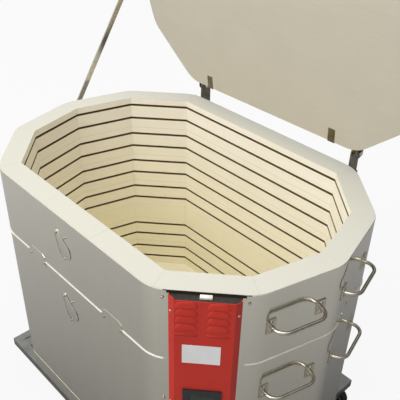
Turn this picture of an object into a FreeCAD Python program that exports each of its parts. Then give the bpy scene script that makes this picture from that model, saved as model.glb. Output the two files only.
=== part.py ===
import FreeCAD, Part
import math
import os
import re
import Sketcher

os.makedirs("parts", exist_ok=True)
doc = FreeCAD.newDocument("CeramicKiln")
V = FreeCAD.Vector

# Driving sizes in millimetres and degrees
driving = {
    # chamber plan: two long walls and four facets at each end
    "straightLength": 652,
    "facetLength": 201,
    "turnWall": 42,
    "turnMid": 33,
    "wallThickness": 64,
    "jacketThickness": 1,
    "jacketBend": 100,
    # brick courses, grooves and joints
    "courseHeight": 114.3,
    "plainCourseHeight": 63.5,
    "grooveHeight": 8,
    "grooveDepth": 15,
    "grooveFirst": 25.6,
    "groovePitch": 51.2,
    "brickJoint": 0.3,
    "leadBore": 9.6,
    "leadStep": 8,
    "leadAlong": 100,
    # floor, pan and jacket edges
    "floorThickness": 63.5,
    "panThickness": 1.5,
    "floorBrickLength": 228.6,
    "floorBrickWidth": 114.3,
    "floorJointDepth": 2,
    "seamGap": 5.5,
    "seamLap": 2,
    "rimStand": 3,
    # heating elements and their porcelain tubes
    "coilDiameter": 7.4,
    "coilSetback": 4.6,
    "leadDiameter": 3.6,
    "leadReach": 76,
    "tubeDiameter": 9,
    "tubeBore": 4.2,
    "tubeCollar": 13,
    "collarLength": 6,
    # peepholes and their swinging covers
    "peepX": -15,
    "peepDrop": 101,
    "peepDiameter": 22,
    "coverPivotX": -46,
    "coverPivotDrop": 65,
    "coverDiscDrop": 112,
    "coverDiscRadius": 29,
    "coverEyeRadius": 11,
    "coverThickness": 3,
    "coverGap": 0.5,
    # tabs that bridge the seam between the two sections
    "tabWidth": 84,
    "tabHeight": 45,
    "tabSlope": 14,
    "tabThickness": 1.2,
    "tabLeftX": -178,
    "tabRightX": 187,
    "tabRise": 22,
    "sideTabLength": 124,
    "sideTabHeight": 44,
    "sideTabAlong": 87,
    "tabScrewInset": 6,
    "tabScrewDrop": 9,
    "sideScrewInset": 19,
    "sideScrewRise": 16,
    # lifting handles
    "handleSpan": 144,
    "handleReach": 40,
    "handleRod": 10,
    "handleBend": 30,
    "footWidth": 26,
    "footHeight": 44,
    "footThickness": 3,
    "handleDrop": 108,
    "handleDropLeft": 140,
    "handleAlongRight": 110,
    "handleAlongRear": 87,
    "handleAlongLeft": 119,
    # lid, band and straps
    "lidThickness": 76,
    "lidGap": 0.4,
    "lidOpen": 84,
    "bandMargin": 3,
    "strapX": 258.5,
    "strapWidth": 25,
    "strapThickness": 2,
    "tongueStart": 350,
    "strapTopRun": 130,
    # hinge
    "hingeStandoff": 25.35,
    "hingeRise": 38,
    "pinRadius": 5,
    "pinClearance": 0.05,
    "postX": 323,
    "postWeb": 4,
    "postFlange": 32,
    "postSheet": 3,
    "postHeadRadius": 22,
    "postTopDrop": 5,
    "earInner": 335,
    "earThickness": 4,
    "earRadius": 17,
    "earFootWidth": 26,
    "earFootHeight": 56,
    "pinHeadRadius": 8.5,
    "pinHeadLength": 5,
    "spacerRadius": 8,
    "padThickness": 2.5,
    # lid stay
    "stayOut": 102.6,
    "stayBarWidth": 18,
    "stayBarThickness": 5,
    "stayBarLength": 655,
    "stayEyeRadius": 12,
    "stayLidY": 18,
    "stayGuideY": 38,
    "stayGuideDrop": 87,
    "stayPinRadius": 4,
    "stayBossRadius": 9,
    "stayPadSize": 44,
    "stayWasher": 1,
    "guideWidth": 30,
    "guideLength": 34,
    "guideDepth": 20,
    "slotClearance": 0.25,
    "knobRadius": 15,
    "knobLength": 18,
    "knobStem": 7,
    # stand and casters
    "standLength": 980,
    "angleLeg": 30,
    "angleThickness": 3,
    "casterInset": 42,
    "casterPlate": 58,
    "casterPlateThickness": 3,
    "casterHeight": 98.7,
    "casterTrail": 20,
    "wheelDiameter": 75,
    "wheelWidth": 24,
    "forkGap": 28,
    "forkSheet": 2.5,
    "raceRadius": 22,
    "raceHeight": 8,
    "axleRadius": 4,
    # control box on the right front facet
    "boxFirst": 16,
    "boxWidth": 167,
    "boxWing": 11,
    "boxTopDrop": 8.5,
    "throatFirst": 10.5,
    "throatWidth": 180.5,
    "boxFootLevel": 17.3,
    "boxBackDepth": 12,
    "boxSheet": 1.2,
    "boxClearance": 0.05,
    "boxScrewInset": 16,
    "boxScrewGap": 0.3,
    "boxSlopeDepth": 11,
    "boxSlopeWidth": 14,
    "boxLap": 9,
    "louvreWidth": 50,
    "louvreSlot": 5,
    "louvrePitch": 23.6,
    "louvreColumn": 73.5,
    "louvreDrop": 42,
    "louvreFirst": 58,
    "labelFirst": 49,
    "labelWidth": 91,
    "labelHeight": 60,
    "labelDrop": 146,
    "labelThickness": 0.8,
    # controller, keys and switch
    "panelWidth": 96,
    "panelHeight": 128,
    "panelThickness": 4,
    "panelDrop": 300,
    "moduleMargin": 8,
    "moduleDepth": 10,
    "moduleClearance": 0.5,
    "screenWidth": 60,
    "screenHeight": 24,
    "screenDepth": 1,
    "screenDrop": 22,
    "keySize": 14,
    "keyPitch": 24,
    "keyRise": 1.8,
    "keyDepth": 5,
    "keyTravel": 1.5,
    "keyLevel": 26,
    "keyClearance": 0.3,
    "switchDrop": 470,
    "switchWidth": 24,
    "switchHeight": 34,
    "switchFlange": 2,
    "switchDepth": 14,
    "rockerRadius": 11,
    "rockerWidth": 15,
    "rockerClearance": 0.4,
    "rockerEndGap": 1.5,
    "rockerSink": 0.6,
    "rockerPin": 1.6,
    "rockerPinReach": 1.2,
    # parts inside the control box
    "relayWidth": 38,
    "relayHeight": 52,
    "relayDepth": 16,
    "relayPitch": 62,
    "relayDrop": 516,
    "blockWidth": 92,
    "blockHeight": 26,
    "blockDepth": 15,
    "blockRise": 33,
    "blockRim": 4,
    "wellWidth": 9,
    "wellInset": 3,
    "glandRadius": 11,
    "glandNut": 14,
    "glandLength": 26,
    "glandNeck": 7.2,
    "glandHole": 7.7,
    "glandCap": 15,
    "glandFlange": 3,
    "glandInside": 4,
    "sensorRadius": 4,
    "sensorReach": 30,
    "sensorHead": 22,
    "sensorClearance": 0.5,
    "sensorStandoff": 2,
    # screws
    "screwHead": 4,
    "screwHeight": 2.2,
}

# Sizes that follow from the driving sizes
following = {
    "halfStraight": "straightLength / 2",
    "tipHalf": "90 - turnWall - turnMid",
    "halfWidth": "facetLength * (sin(turnWall) + sin(turnWall + turnMid))",
    "midX": "halfStraight + facetLength * cos(turnWall)",
    "midY": "facetLength * sin(turnWall + turnMid)",
    "tipX": "halfStraight + facetLength * (cos(turnWall) + cos(turnWall + turnMid))",
    "cornerShift": "tan(turnWall / 2)",
    "midShiftX": "cos(90 - turnWall - turnMid / 2) / cos(turnMid / 2)",
    "midShiftY": "sin(90 - turnWall - turnMid / 2) / cos(turnMid / 2)",
    "tipShift": "1 / cos(tipHalf)",
    "outerOffset": "wallThickness + jacketThickness",
    "innerBend": "jacketBend - jacketThickness",
    "outerY": "halfWidth + outerOffset",
    "hingeReach": "outerY + hingeStandoff",
    "stayX": "tipX + stayOut",
    "rimLevel": "6 * courseHeight + plainCourseHeight",
    "jointLevel": "4 * courseHeight + plainCourseHeight",
    "standTop": "-floorThickness - panThickness",
    "hingeLevel": "rimLevel + hingeRise",
    "coilOffset": "grooveDepth - coilSetback",
    "frontDepth": "boxBackDepth + boxSlopeDepth",
    "boxHeight": "rimLevel - boxTopDrop - boxFootLevel",
    "boxScrewMargin": "boxWing + screwHead + boxScrewGap",
}

sizes = doc.addObject("Spreadsheet::Sheet", "Sizes")
derived = doc.addObject("Spreadsheet::Sheet", "Derived")
owner = {name: "Sizes." for name in driving}
owner.update({name: "Derived." for name in following})


def ex(text):
    return re.sub(r"[A-Za-z]+", lambda word: owner.get(word.group(), "") + word.group(), text)


for row, (name, value) in enumerate(driving.items(), 1):
    sizes.set("A%d" % row, str(value))
    sizes.setAlias("A%d" % row, name)
for row, (name, text) in enumerate(following.items(), 1):
    derived.setAlias("A%d" % row, name)
    derived.set("A%d" % row, "=" + ex(text).replace("Derived.", ""))
doc.recompute()


def num(text):
    return float(sizes.evalExpression(ex(text)))


def neg(text):
    return "-(%s)" % text


# Sketch and feature helpers
def newBody(name):
    return doc.addObject("PartDesign::Body", name)


def sketchOn(body, role, level="0", shift="0"):
    sketch = body.newObject("Sketcher::SketchObject", body.Name + "Sketch")
    plane = [item for item in body.Origin.OriginFeatures if item.Role == role][0]
    sketch.AttachmentSupport = [(plane, "")]
    sketch.MapMode = "FlatFace"
    if level != "0":
        sketch.setExpression("AttachmentOffset.Base.z", ex(level))
    if shift != "0":
        sketch.setExpression("AttachmentOffset.Base.y", ex(shift))
    return sketch


def pin(sketch, geo, pos, x, y):
    for kind, axis, text in (("DistanceX", -2, x), ("DistanceY", -1, y)):
        if text == "0":
            sketch.addConstraint(Sketcher.Constraint("PointOnObject", geo, pos, axis))
            continue
        value = num(text)
        ends = (-1, 1, geo, pos) if value > 0 else (geo, pos, -1, 1)
        index = sketch.addConstraint(Sketcher.Constraint(kind, *ends, abs(value)))
        sketch.setExpression("Constraints[%d]" % index, ex(text if value > 0 else neg(text)))


def drive(sketch, index, text):
    sketch.setExpression("Constraints[%d]" % index, ex(text))


def polygon(sketch, points):
    corners = [V(num(x), num(y), 0) for x, y in points]
    first = sketch.GeometryCount
    count = len(points)
    for index in range(count):
        sketch.addGeometry(Part.LineSegment(corners[index], corners[(index + 1) % count]))
    for index in range(count):
        here = first + index
        after = first + (index + 1) % count
        sketch.addConstraint(Sketcher.Constraint("Coincident", here, 2, after, 1))
    for index, (x, y) in enumerate(points):
        pin(sketch, first + index, 1, x, y)


def rectangle(sketch, left, right, low, high):
    polygon(sketch, [(left, low), (right, low), (right, high), (left, high)])


def circle(sketch, x, y, radius):
    geo = sketch.addGeometry(Part.Circle(V(num(x), num(y), 0), V(0, 0, 1), num(radius)))
    pin(sketch, geo, 3, x, y)
    drive(sketch, sketch.addConstraint(Sketcher.Constraint("Radius", geo, num(radius))), radius)


def pad(body, sketch, length, both=False, back=False):
    feature = body.newObject("PartDesign::Pad", body.Name + "Pad")
    feature.Profile = sketch
    feature.SideType = "Symmetric" if both else "One side"
    feature.Reversed = back
    feature.setExpression("Length", ex(length))
    doc.recompute()
    return feature


def pocket(body, sketch, length, both=False, back=False):
    before = body.Tip.Shape.Volume
    feature = body.newObject("PartDesign::Pocket", body.Name + "Pocket")
    feature.Profile = sketch
    feature.SideType = "Symmetric" if both else "One side"
    feature.Reversed = back
    feature.setExpression("Length", ex(length))
    doc.recompute()
    if feature.Shape.Volume > before - 0.01:
        raise RuntimeError("pocket cuts nothing in " + body.Name)
    return feature


def repeat(body, feature, role, pitch, count, back=False):
    pattern = body.newObject("PartDesign::LinearPattern", body.Name + "Row")
    pattern.Originals = [feature]
    axis = [item for item in body.Origin.OriginFeatures if item.Role == role][0]
    pattern.Direction = (axis, [""])
    pattern.Reversed = back
    pattern.Mode = "Spacing"
    pattern.setExpression("Offset", ex(pitch))
    pattern.Occurrences = count
    body.Tip = pattern
    doc.recompute()
    return pattern


def uprightEdges(shape):
    names = []
    for index, edge in enumerate(shape.Edges, 1):
        span = edge.Vertexes[-1].Point - edge.Vertexes[0].Point
        if abs(span.z) > 0.1 and math.hypot(span.x, span.y) < 0.001:
            names.append("Edge%d" % index)
    return names


def levelFaces(shape, sides):
    names = []
    box = shape.BoundBox
    for index, face in enumerate(shape.Faces, 1):
        middle = face.BoundBox
        if middle.ZLength > 0.001:
            continue
        if "top" in sides and abs(middle.ZMax - box.ZMax) < 0.001:
            names.append("Face%d" % index)
        if "bottom" in sides and abs(middle.ZMin - box.ZMin) < 0.001:
            names.append("Face%d" % index)
    return names


def bend(body, radius):
    base = body.Tip
    fillet = body.newObject("PartDesign::Fillet", body.Name + "Bends")
    fillet.Base = (base, uprightEdges(base.Shape))
    fillet.setExpression("Radius", ex(radius))
    doc.recompute()


def hollow(body, wall, sides):
    base = body.Tip
    sheet = body.newObject("PartDesign::Thickness", body.Name + "Sheet")
    sheet.Base = (base, levelFaces(base.Shape, sides))
    sheet.setExpression("Value", ex(wall))
    sheet.Reversed = True
    sheet.Join = "Intersection"
    doc.recompute()


# Plan of the kiln at an offset outside the chamber's face, front right corner first
def outline(offset):
    corner = ("halfStraight + (%s) * cornerShift" % offset, "halfWidth + (%s)" % offset)
    middle = ("midX + (%s) * midShiftX" % offset, "midY + (%s) * midShiftY" % offset)
    tip = "tipX + (%s) * tipShift" % offset
    right = [(corner[0], neg(corner[1])), (middle[0], neg(middle[1])), (tip, "0"), middle, corner]
    left = [(neg(x), y) for x, y in reversed(right)]
    return right + left


def outlineBody(name, offset, height, level="0", shift="0", radius=None):
    body = newBody(name)
    sketch = sketchOn(body, "XY_Plane", level, shift)
    polygon(sketch, outline(offset))
    pad(body, sketch, height)
    if radius:
        bend(body, radius)
    return body


# Primitives and booleans
def box(name, x, y, z, left="0", front="0", low="0"):
    item = doc.addObject("Part::Box", name)
    for key, text in (("Length", x), ("Width", y), ("Height", z)):
        item.setExpression(key, ex(text))
    for key, text in (("x", left), ("y", front), ("z", low)):
        item.setExpression("Placement.Base." + key, ex(text))
    return item


turns = {
    "up": FreeCAD.Rotation(),
    "x": FreeCAD.Rotation(V(0, 1, 0), 90),
    "y": FreeCAD.Rotation(V(1, 0, 0), -90),
}


def rod(name, radius, length, along, x="0", y="0", z="0"):
    item = doc.addObject("Part::Cylinder", name)
    item.setExpression("Radius", ex(radius))
    item.setExpression("Height", ex(length))
    item.Placement = FreeCAD.Placement(V(0, 0, 0), turns[along])
    for key, text in (("x", x), ("y", y), ("z", z)):
        item.setExpression("Placement.Base." + key, ex(text))
    return item


def fuse(name, items):
    item = doc.addObject("Part::MultiFuse", name)
    item.Shapes = items
    return item


def cut(name, base, tool):
    item = doc.addObject("Part::Cut", name)
    item.Base = base
    item.Tool = tool
    return item


def common(name, items):
    item = doc.addObject("Part::MultiCommon", name)
    item.Shapes = items
    return item


def group(name, items):
    item = doc.addObject("Part::Compound", name)
    item.Links = items
    return item


def mirror(name, source, normal):
    item = doc.addObject("Part::Mirroring", name)
    item.Source = source
    item.Normal = normal
    return item


def at(name, source, x="0", y="0", z="0", turn="0", axis=V(0, 0, 1)):
    item = group(name, [source])
    item.Placement = FreeCAD.Placement(V(0, 0, 0), FreeCAD.Rotation(axis, 1))
    for key, text in (("x", x), ("y", y), ("z", z)):
        item.setExpression("Placement.Base." + key, ex(text))
    item.setExpression("Placement.Rotation.Angle", ex(turn))
    return item


# Faces of the kiln: the start corner and the turn of each face that carries a piece.
# A piece's own frame has x along the face, y into the wall and z up.
faces = {
    "front": ("0", neg("halfWidth"), "0"),
    "rightFront": ("halfStraight", neg("halfWidth"), "turnWall"),
    "rightTip": ("tipX", "0", "90 - tipHalf"),
    "rearTip": ("tipX", "0", "90 + tipHalf"),
    "leftRearTip": (neg("tipX"), "0", "270 - tipHalf"),
    "leftTip": (neg("tipX"), "0", "270 + tipHalf"),
    "rear": ("0", "halfWidth", "180"),
}


def onFace(name, source, face, along, out, level):
    startX, startY, turn = faces[face]
    x = "%s + (%s) * cos(%s) + (%s) * sin(%s)" % (startX, along, turn, out, turn)
    y = "%s + (%s) * sin(%s) - (%s) * cos(%s)" % (startY, along, turn, out, turn)
    return at(name, source, x, y, level, turn)


nodes = {}


def node(label, item):
    item.Label = label
    nodes[label] = item
    return item


# Floor slab in its pan
pan = outlineBody("FloorPan", "outerOffset", "floorThickness + panThickness - seamGap",
                  "standTop", radius="jacketBend")
hollow(pan, "jacketThickness", ["top"])
node("floor_pan", pan)
slab = outlineBody("FloorSlab", "wallThickness", "floorThickness + panThickness - jacketThickness",
                   "standTop + jacketThickness", radius="innerBend")
lines = []
for count, pitch, turn in ((2, "floorBrickLength", "90"), (3, "floorBrickWidth", "0")):
    for step in range(count):
        for side in ("", "-"):
            shift = "%s(%d.5 * %s)" % (side, step, pitch)
            line = box("FloorLine", "standLength * 2", "brickJoint", "floorJointDepth * 2",
                       "-standLength", "-brickJoint / 2", "-floorJointDepth")
            x, y = (shift, "0") if turn == "90" else ("0", shift)
            lines.append(at("FloorLineAt", line, x, y, "0", turn))
node("floor_slab", cut("FloorSlabJointed", slab, group("FloorLines", lines)))


# Wall courses: a ring with grooves, divided into mitred bricks
def ring(name, height):
    body = outlineBody(name, "wallThickness", height, radius="innerBend")
    sketch = sketchOn(body, "XY_Plane")
    polygon(sketch, outline("0"))
    pocket(body, sketch, height, back=True)
    return body


heatedRing = ring("HeatedRing", "courseHeight")
grooveSketch = sketchOn(heatedRing, "XY_Plane", "courseHeight - grooveFirst - grooveHeight / 2")
polygon(grooveSketch, outline("grooveDepth"))
groove = pocket(heatedRing, grooveSketch, "grooveHeight", back=True)
repeat(heatedRing, groove, "Z_Axis", "groovePitch", 2, back=True)
plainRing = ring("PlainRing", "plainCourseHeight")

jointSlab = box("JointSlab", "brickJoint", "wallThickness * 2", "courseHeight",
                "-brickJoint / 2", "-wallThickness * 2 + grooveDepth / 4")
corners = [("halfStraight", "halfWidth", "turnWall / 2"),
           ("midX", "midY", "turnWall + turnMid / 2"),
           ("tipX", "0", "90")]
joints = []
for sideX in (1, -1):
    for sideY in (1, -1):
        for x, y, turn in corners:
            if x == "tipX" and sideY == 1:
                continue
            if sideX == 1:
                face = turn if sideY == -1 else "180 - (%s)" % turn
            else:
                face = neg(turn) if sideY == -1 else "180 + (%s)" % turn
            joints.append(at("CornerJoint", jointSlab, x if sideX == 1 else neg(x),
                             "0" if y == "0" else (y if sideY == 1 else neg(y)), "0", face))
for sideY in (1, -1):
    for sideX in (1, -1):
        joints.append(at("WallJoint", jointSlab, "%d * straightLength / 6" % sideX,
                         "halfWidth" if sideY == 1 else neg("halfWidth"), "0",
                         "180" if sideY == 1 else "0"))
jointTool = group("JointTool", joints)

upperGroove = "courseHeight - grooveFirst"
lowerGroove = "courseHeight - grooveFirst - groovePitch"
leadDrill = rod("LeadDrill", "leadBore / 2", "wallThickness * 2", "y", y="-wallThickness - grooveDepth")
notch = box("Notch", "leadStep * 4", "grooveDepth * 2", "groovePitch", "-leadStep * 2", "-grooveDepth")
leadTools = [
    onFace("LeadDrillIn", leadDrill, "rightFront", "leadAlong - leadStep", "0", upperGroove),
    onFace("LeadDrillOut", leadDrill, "rightFront", "leadAlong + leadStep", "0", lowerGroove),
    onFace("NotchAt", notch, "rightFront", "leadAlong", "0", lowerGroove),
]
leadTool = fuse("LeadTool", leadTools)
peepDrill = rod("PeepDrill", "peepDiameter / 2", "wallThickness * 3", "y",
                "peepX", "-halfWidth - wallThickness * 2", "courseHeight - peepDrop")
sensorDrill = onFace("SensorDrill", rod("SensorTool", "sensorRadius + sensorClearance", "wallThickness * 2",
                                        "y", y="-wallThickness - grooveDepth"),
                     "rightFront", "leadAlong", "0", "courseHeight - peepDrop")

heatedBricks = cut("HeatedBricks", cut("HeatedDrilled", heatedRing, leadTool), jointTool)
peepBricks = cut("PeepBricks", heatedBricks, peepDrill)
sensorBricks = cut("SensorBricks", heatedBricks, sensorDrill)
plainBricks = cut("PlainBricks", plainRing, jointTool)

courses = [
    ("course_6", heatedBricks, "0"),
    ("course_5", heatedBricks, "courseHeight"),
    ("course_plain", plainBricks, "2 * courseHeight"),
    ("course_4", sensorBricks, "jointLevel - 2 * courseHeight"),
    ("course_3", peepBricks, "jointLevel - courseHeight"),
    ("course_2", heatedBricks, "jointLevel"),
    ("course_1", peepBricks, "jointLevel + courseHeight"),
]
for label, bricks, level in courses:
    node(label, at("Course", bricks, z=level))


# Heating elements: two turns in one course, joined by a step and led out through the wall
def coilPath(body):
    sketch = sketchOn(body, "XY_Plane")
    loop = outline("coilOffset")
    startX = "halfStraight + coilOffset * sin(turnWall) + (leadAlong %s leadStep) * cos(turnWall)"
    startY = "-halfWidth - coilOffset * cos(turnWall) + (leadAlong %s leadStep) * sin(turnWall)"
    points = [(startX % "+", startY % "+")] + loop[1:] + [loop[0]] + [(startX % "-", startY % "-")]
    corners = [V(num(x), num(y), 0) for x, y in points]
    for index in range(len(points) - 1):
        sketch.addGeometry(Part.LineSegment(corners[index], corners[index + 1]))
    for index in range(len(points) - 2):
        sketch.addConstraint(Sketcher.Constraint("Coincident", index, 2, index + 1, 1))
    for index in range(len(points) - 1):
        pin(sketch, index, 1, *points[index])
    pin(sketch, len(points) - 2, 2, *points[-1])
    return sketch


def coilTurn():
    path = newBody("CoilPath")
    sketch = coilPath(path)
    doc.recompute()
    tube = doc.addObject("Part::Sweep", "CoilTurn")
    ringSketch = doc.addObject("Part::Circle", "CoilRing")
    ringSketch.setExpression("Radius", ex("coilDiameter / 2"))
    x = "halfStraight + coilOffset * sin(turnWall) + (leadAlong + leadStep) * cos(turnWall)"
    y = "-halfWidth - coilOffset * cos(turnWall) + (leadAlong + leadStep) * sin(turnWall)"
    ringSketch.Placement = FreeCAD.Placement(
        V(0, 0, 0), FreeCAD.Rotation(V(0, 0, 1), V(math.cos(math.radians(num("turnWall"))),
                                                   math.sin(math.radians(num("turnWall"))), 0)))
    ringSketch.setExpression("Placement.Base.x", ex(x))
    ringSketch.setExpression("Placement.Base.y", ex(y))
    tube.Sections = [ringSketch]
    tube.Spine = (sketch, ["Edge%d" % (index + 1) for index in range(sketch.GeometryCount)])
    tube.Solid = True
    tube.Frenet = False
    tube.Transition = "Right corner"
    return tube


coil = coilTurn()
leadRod = rod("LeadRod", "leadDiameter / 2", "leadReach - coilOffset", "y", y="-leadReach")
stepLength = "sqrt(groovePitch ^ 2 + 4 * leadStep ^ 2)"
step = doc.addObject("Part::Cylinder", "StepRod")
step.setExpression("Radius", ex("leadDiameter / 2"))
step.setExpression("Height", ex(stepLength))
step.Placement = FreeCAD.Placement(V(0, 0, 0), FreeCAD.Rotation(V(0, 1, 0), 10))
step.setExpression("Placement.Rotation.Angle", ex("atan(2 * leadStep / groovePitch)"))
elementParts = fuse("ElementParts", [
    at("CoilUpper", coil, z=upperGroove),
    at("CoilLower", coil, z=lowerGroove),
    onFace("LeadIn", leadRod, "rightFront", "leadAlong - leadStep", "0", upperGroove),
    onFace("LeadOut", leadRod, "rightFront", "leadAlong + leadStep", "0", lowerGroove),
    onFace("StepAt", step, "rightFront", "leadAlong - leadStep", "coilOffset", lowerGroove),
])

# Porcelain tubes round the leads
tube = newBody("LeadTube")
sketch = sketchOn(tube, "XZ_Plane")
circle(sketch, "0", "0", "tubeDiameter / 2")
circle(sketch, "0", "0", "tubeBore / 2")
pad(tube, sketch, "outerOffset + collarLength - grooveDepth")
sketch = sketchOn(tube, "XZ_Plane", "outerOffset - grooveDepth")
circle(sketch, "0", "0", "tubeCollar / 2")
circle(sketch, "0", "0", "tubeBore / 2")
pad(tube, sketch, "collarLength")
coursePair = group("TubePair", [
    onFace("TubeIn", tube, "rightFront", "leadAlong - leadStep", "grooveDepth", upperGroove),
    onFace("TubeOut", tube, "rightFront", "leadAlong + leadStep", "grooveDepth", lowerGroove),
])
tubes = []
for label, bricks, level in courses:
    if bricks is not plainBricks:
        node(label.replace("course", "element"), at("Element", elementParts, z=level))
        tubes.append(at("TubesAt", coursePair, z=level))
node("lead_tubes", group("LeadTubes", tubes))

# Jackets with their openings
leadWindow = box("LeadWindow", "leadStep * 2 + tubeDiameter * 2", "wallThickness",
                 "groovePitch + tubeDiameter * 2", "-leadStep - tubeDiameter", "-wallThickness / 2")
windows = [onFace("WindowAt", leadWindow, "rightFront", "leadAlong", "outerOffset",
                  "%s + courseHeight - grooveFirst - groovePitch - tubeDiameter" % level)
           for label, bricks, level in courses if bricks is not plainBricks]
peepHoles = [at("PeepHoleAt", peepDrill, z=level)
             for label, bricks, level in courses if bricks is peepBricks]
sensorHole = at("SensorHoleAt", sensorDrill, z="jointLevel - 2 * courseHeight")
throatTool = box("ThroatTool", "throatWidth", "wallThickness", "boxTopDrop", "0", "-wallThickness / 2")
throat = onFace("Throat", throatTool, "rightFront", "throatFirst", "outerOffset", "rimLevel - boxTopDrop")
jacketTool = group("JacketTool", windows + peepHoles + [sensorHole, throat])
upperJacket = outlineBody("UpperJacket", "outerOffset", "2 * courseHeight - seamLap - seamGap - rimStand",
                          "jointLevel + seamLap + seamGap", radius="jacketBend")
hollow(upperJacket, "jacketThickness", ["top", "bottom"])
node("upper_jacket", cut("UpperJacketCut", upperJacket, jacketTool))
lowerJacket = outlineBody("LowerJacket", "outerOffset", "jointLevel + seamLap", radius="jacketBend")
hollow(lowerJacket, "jacketThickness", ["top", "bottom"])
node("lower_jacket", cut("LowerJacketCut", lowerJacket, jacketTool))

# Tabs over the seam
tab = newBody("SeamTab")
sketch = sketchOn(tab, "XZ_Plane")
polygon(sketch, [("-tabWidth / 2", "tabRise - tabHeight"), ("tabWidth / 2", "tabRise - tabHeight"),
                 ("tabWidth / 2", "tabRise - tabSlope / 2"), ("tabWidth / 2 - tabSlope", "tabRise"),
                 ("tabSlope - tabWidth / 2", "tabRise"), ("-tabWidth / 2", "tabRise - tabSlope / 2")])
pad(tab, sketch, "tabThickness")
sideTab = newBody("SideTab")
sketch = sketchOn(sideTab, "XZ_Plane")
rectangle(sketch, "-sideTabLength / 2", "sideTabLength / 2", "-sideTabHeight / 4", "sideTabHeight * 3 / 4")
pad(sideTab, sketch, "tabThickness")
seam = "jointLevel + seamLap + seamGap / 2"
node("seam_tabs", group("SeamTabs", [
    onFace("TabFrontLeft", tab, "front", "tabLeftX", "outerOffset", seam),
    onFace("TabFrontRight", tab, "front", "tabRightX", "outerOffset", seam),
    onFace("TabRearLeft", tab, "rear", "tabLeftX", "outerOffset", seam),
    onFace("TabRearRight", tab, "rear", "tabRightX", "outerOffset", seam),
    onFace("TabRight", sideTab, "rearTip", "sideTabAlong", "outerOffset", seam),
    onFace("TabLeft", sideTab, "leftRearTip", "-sideTabAlong", "outerOffset", seam),
]))

# Lifting handle: a bent rod on two feet
handle = newBody("Handle")
sketch = sketchOn(handle, "XZ_Plane")
for side in ("-", ""):
    rectangle(sketch, "%shandleSpan / 2 - footWidth / 2" % side, "%shandleSpan / 2 + footWidth / 2" % side,
              "-footHeight / 2", "footHeight / 2")
pad(handle, sketch, "footThickness")
handlePath = sketchOn(handle, "XY_Plane")
half = num("handleSpan / 2")
reach = num("handleReach")
curve = num("handleBend")
lift = num("footThickness / 2")
handlePath.addGeometry(Part.LineSegment(V(-half, -lift, 0), V(-half, curve - reach, 0)))
handlePath.addGeometry(Part.ArcOfCircle(
    Part.Circle(V(curve - half, curve - reach, 0), V(0, 0, 1), curve), math.pi, 1.5 * math.pi))
handlePath.addGeometry(Part.LineSegment(V(curve - half, -reach, 0), V(half - curve, -reach, 0)))
handlePath.addGeometry(Part.ArcOfCircle(
    Part.Circle(V(half - curve, curve - reach, 0), V(0, 0, 1), curve), 1.5 * math.pi, 2 * math.pi))
handlePath.addGeometry(Part.LineSegment(V(half, curve - reach, 0), V(half, -lift, 0)))
for first, end, second, start in ((0, 2, 1, 1), (1, 2, 2, 1), (2, 2, 3, 1), (3, 2, 4, 1)):
    handlePath.addConstraint(Sketcher.Constraint("Tangent", first, end, second, start))
handlePath.addConstraint(Sketcher.Constraint("Vertical", 0))
handlePath.addConstraint(Sketcher.Constraint("Vertical", 4))
pin(handlePath, 0, 1, "-handleSpan / 2", "-footThickness / 2")
pin(handlePath, 4, 2, "handleSpan / 2", "-footThickness / 2")
drive(handlePath, handlePath.addConstraint(Sketcher.Constraint("Radius", 1, curve)), "handleBend")
drive(handlePath, handlePath.addConstraint(Sketcher.Constraint("Radius", 3, curve)), "handleBend")
outward = handlePath.addConstraint(Sketcher.Constraint("DistanceY", 2, 1, -1, 1, reach))
drive(handlePath, outward, "handleReach")
handleRing = sketchOn(handle, "XZ_Plane", "footThickness / 2")
circle(handleRing, "-handleSpan / 2", "0", "handleRod / 2")
doc.recompute()
bar = handle.newObject("PartDesign::AdditivePipe", "HandleBar")
bar.Profile = handleRing
bar.Spine = (handlePath, ["Edge%d" % (index + 1) for index in range(5)])
doc.recompute()

for side, tip, rear, alongTip, alongRear, drop in (
        ("right", "rightTip", "rearTip", "-handleAlongRight", "handleAlongRear", "handleDrop"),
        ("left", "leftTip", "leftRearTip", "handleAlongLeft", "-handleAlongLeft", "handleDropLeft")):
    places = []
    for level in ("rimLevel - %s" % drop, "rimLevel - %s - 2 * courseHeight" % drop):
        places.append(onFace("HandleTip", handle, tip, alongTip, "outerOffset", level))
        places.append(onFace("HandleRear", handle, rear, alongRear, "outerOffset", level))
    node("handles_" + side, group("Handles", places))

# Swinging peephole cover: an eye round its screw and a disc, joined by tangent sides
shutter = newBody("PeepCover")
sketch = sketchOn(shutter, "XZ_Plane", "coverGap")
discX = num("peepX - coverPivotX")
discY = num("coverPivotDrop - coverDiscDrop")
eyeRadius = num("coverEyeRadius")
discRadius = num("coverDiscRadius")
run = math.hypot(discX, discY)
lean = math.atan2(discY, discX)
spread = math.acos((eyeRadius - discRadius) / run)
for centre, radius, start, end in ((V(0, 0, 0), eyeRadius, lean + spread, lean - spread + 2 * math.pi),
                                   (V(discX, discY, 0), discRadius, lean - spread, lean + spread)):
    sketch.addGeometry(Part.ArcOfCircle(Part.Circle(centre, V(0, 0, 1), radius), start, end))
for sign in (1, -1):
    away = V(math.cos(lean + sign * spread), math.sin(lean + sign * spread), 0)
    sketch.addGeometry(Part.LineSegment(away * eyeRadius, V(discX, discY, 0) + away * discRadius))
for first, end, second, start in ((2, 1, 0, 1), (2, 2, 1, 2), (3, 1, 0, 2), (3, 2, 1, 1)):
    sketch.addConstraint(Sketcher.Constraint("Tangent", first, end, second, start))
pin(sketch, 0, 3, "0", "0")
pin(sketch, 1, 3, "peepX - coverPivotX", "coverPivotDrop - coverDiscDrop")
drive(sketch, sketch.addConstraint(Sketcher.Constraint("Radius", 0, eyeRadius)), "coverEyeRadius")
drive(sketch, sketch.addConstraint(Sketcher.Constraint("Radius", 1, discRadius)), "coverDiscRadius")
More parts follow.
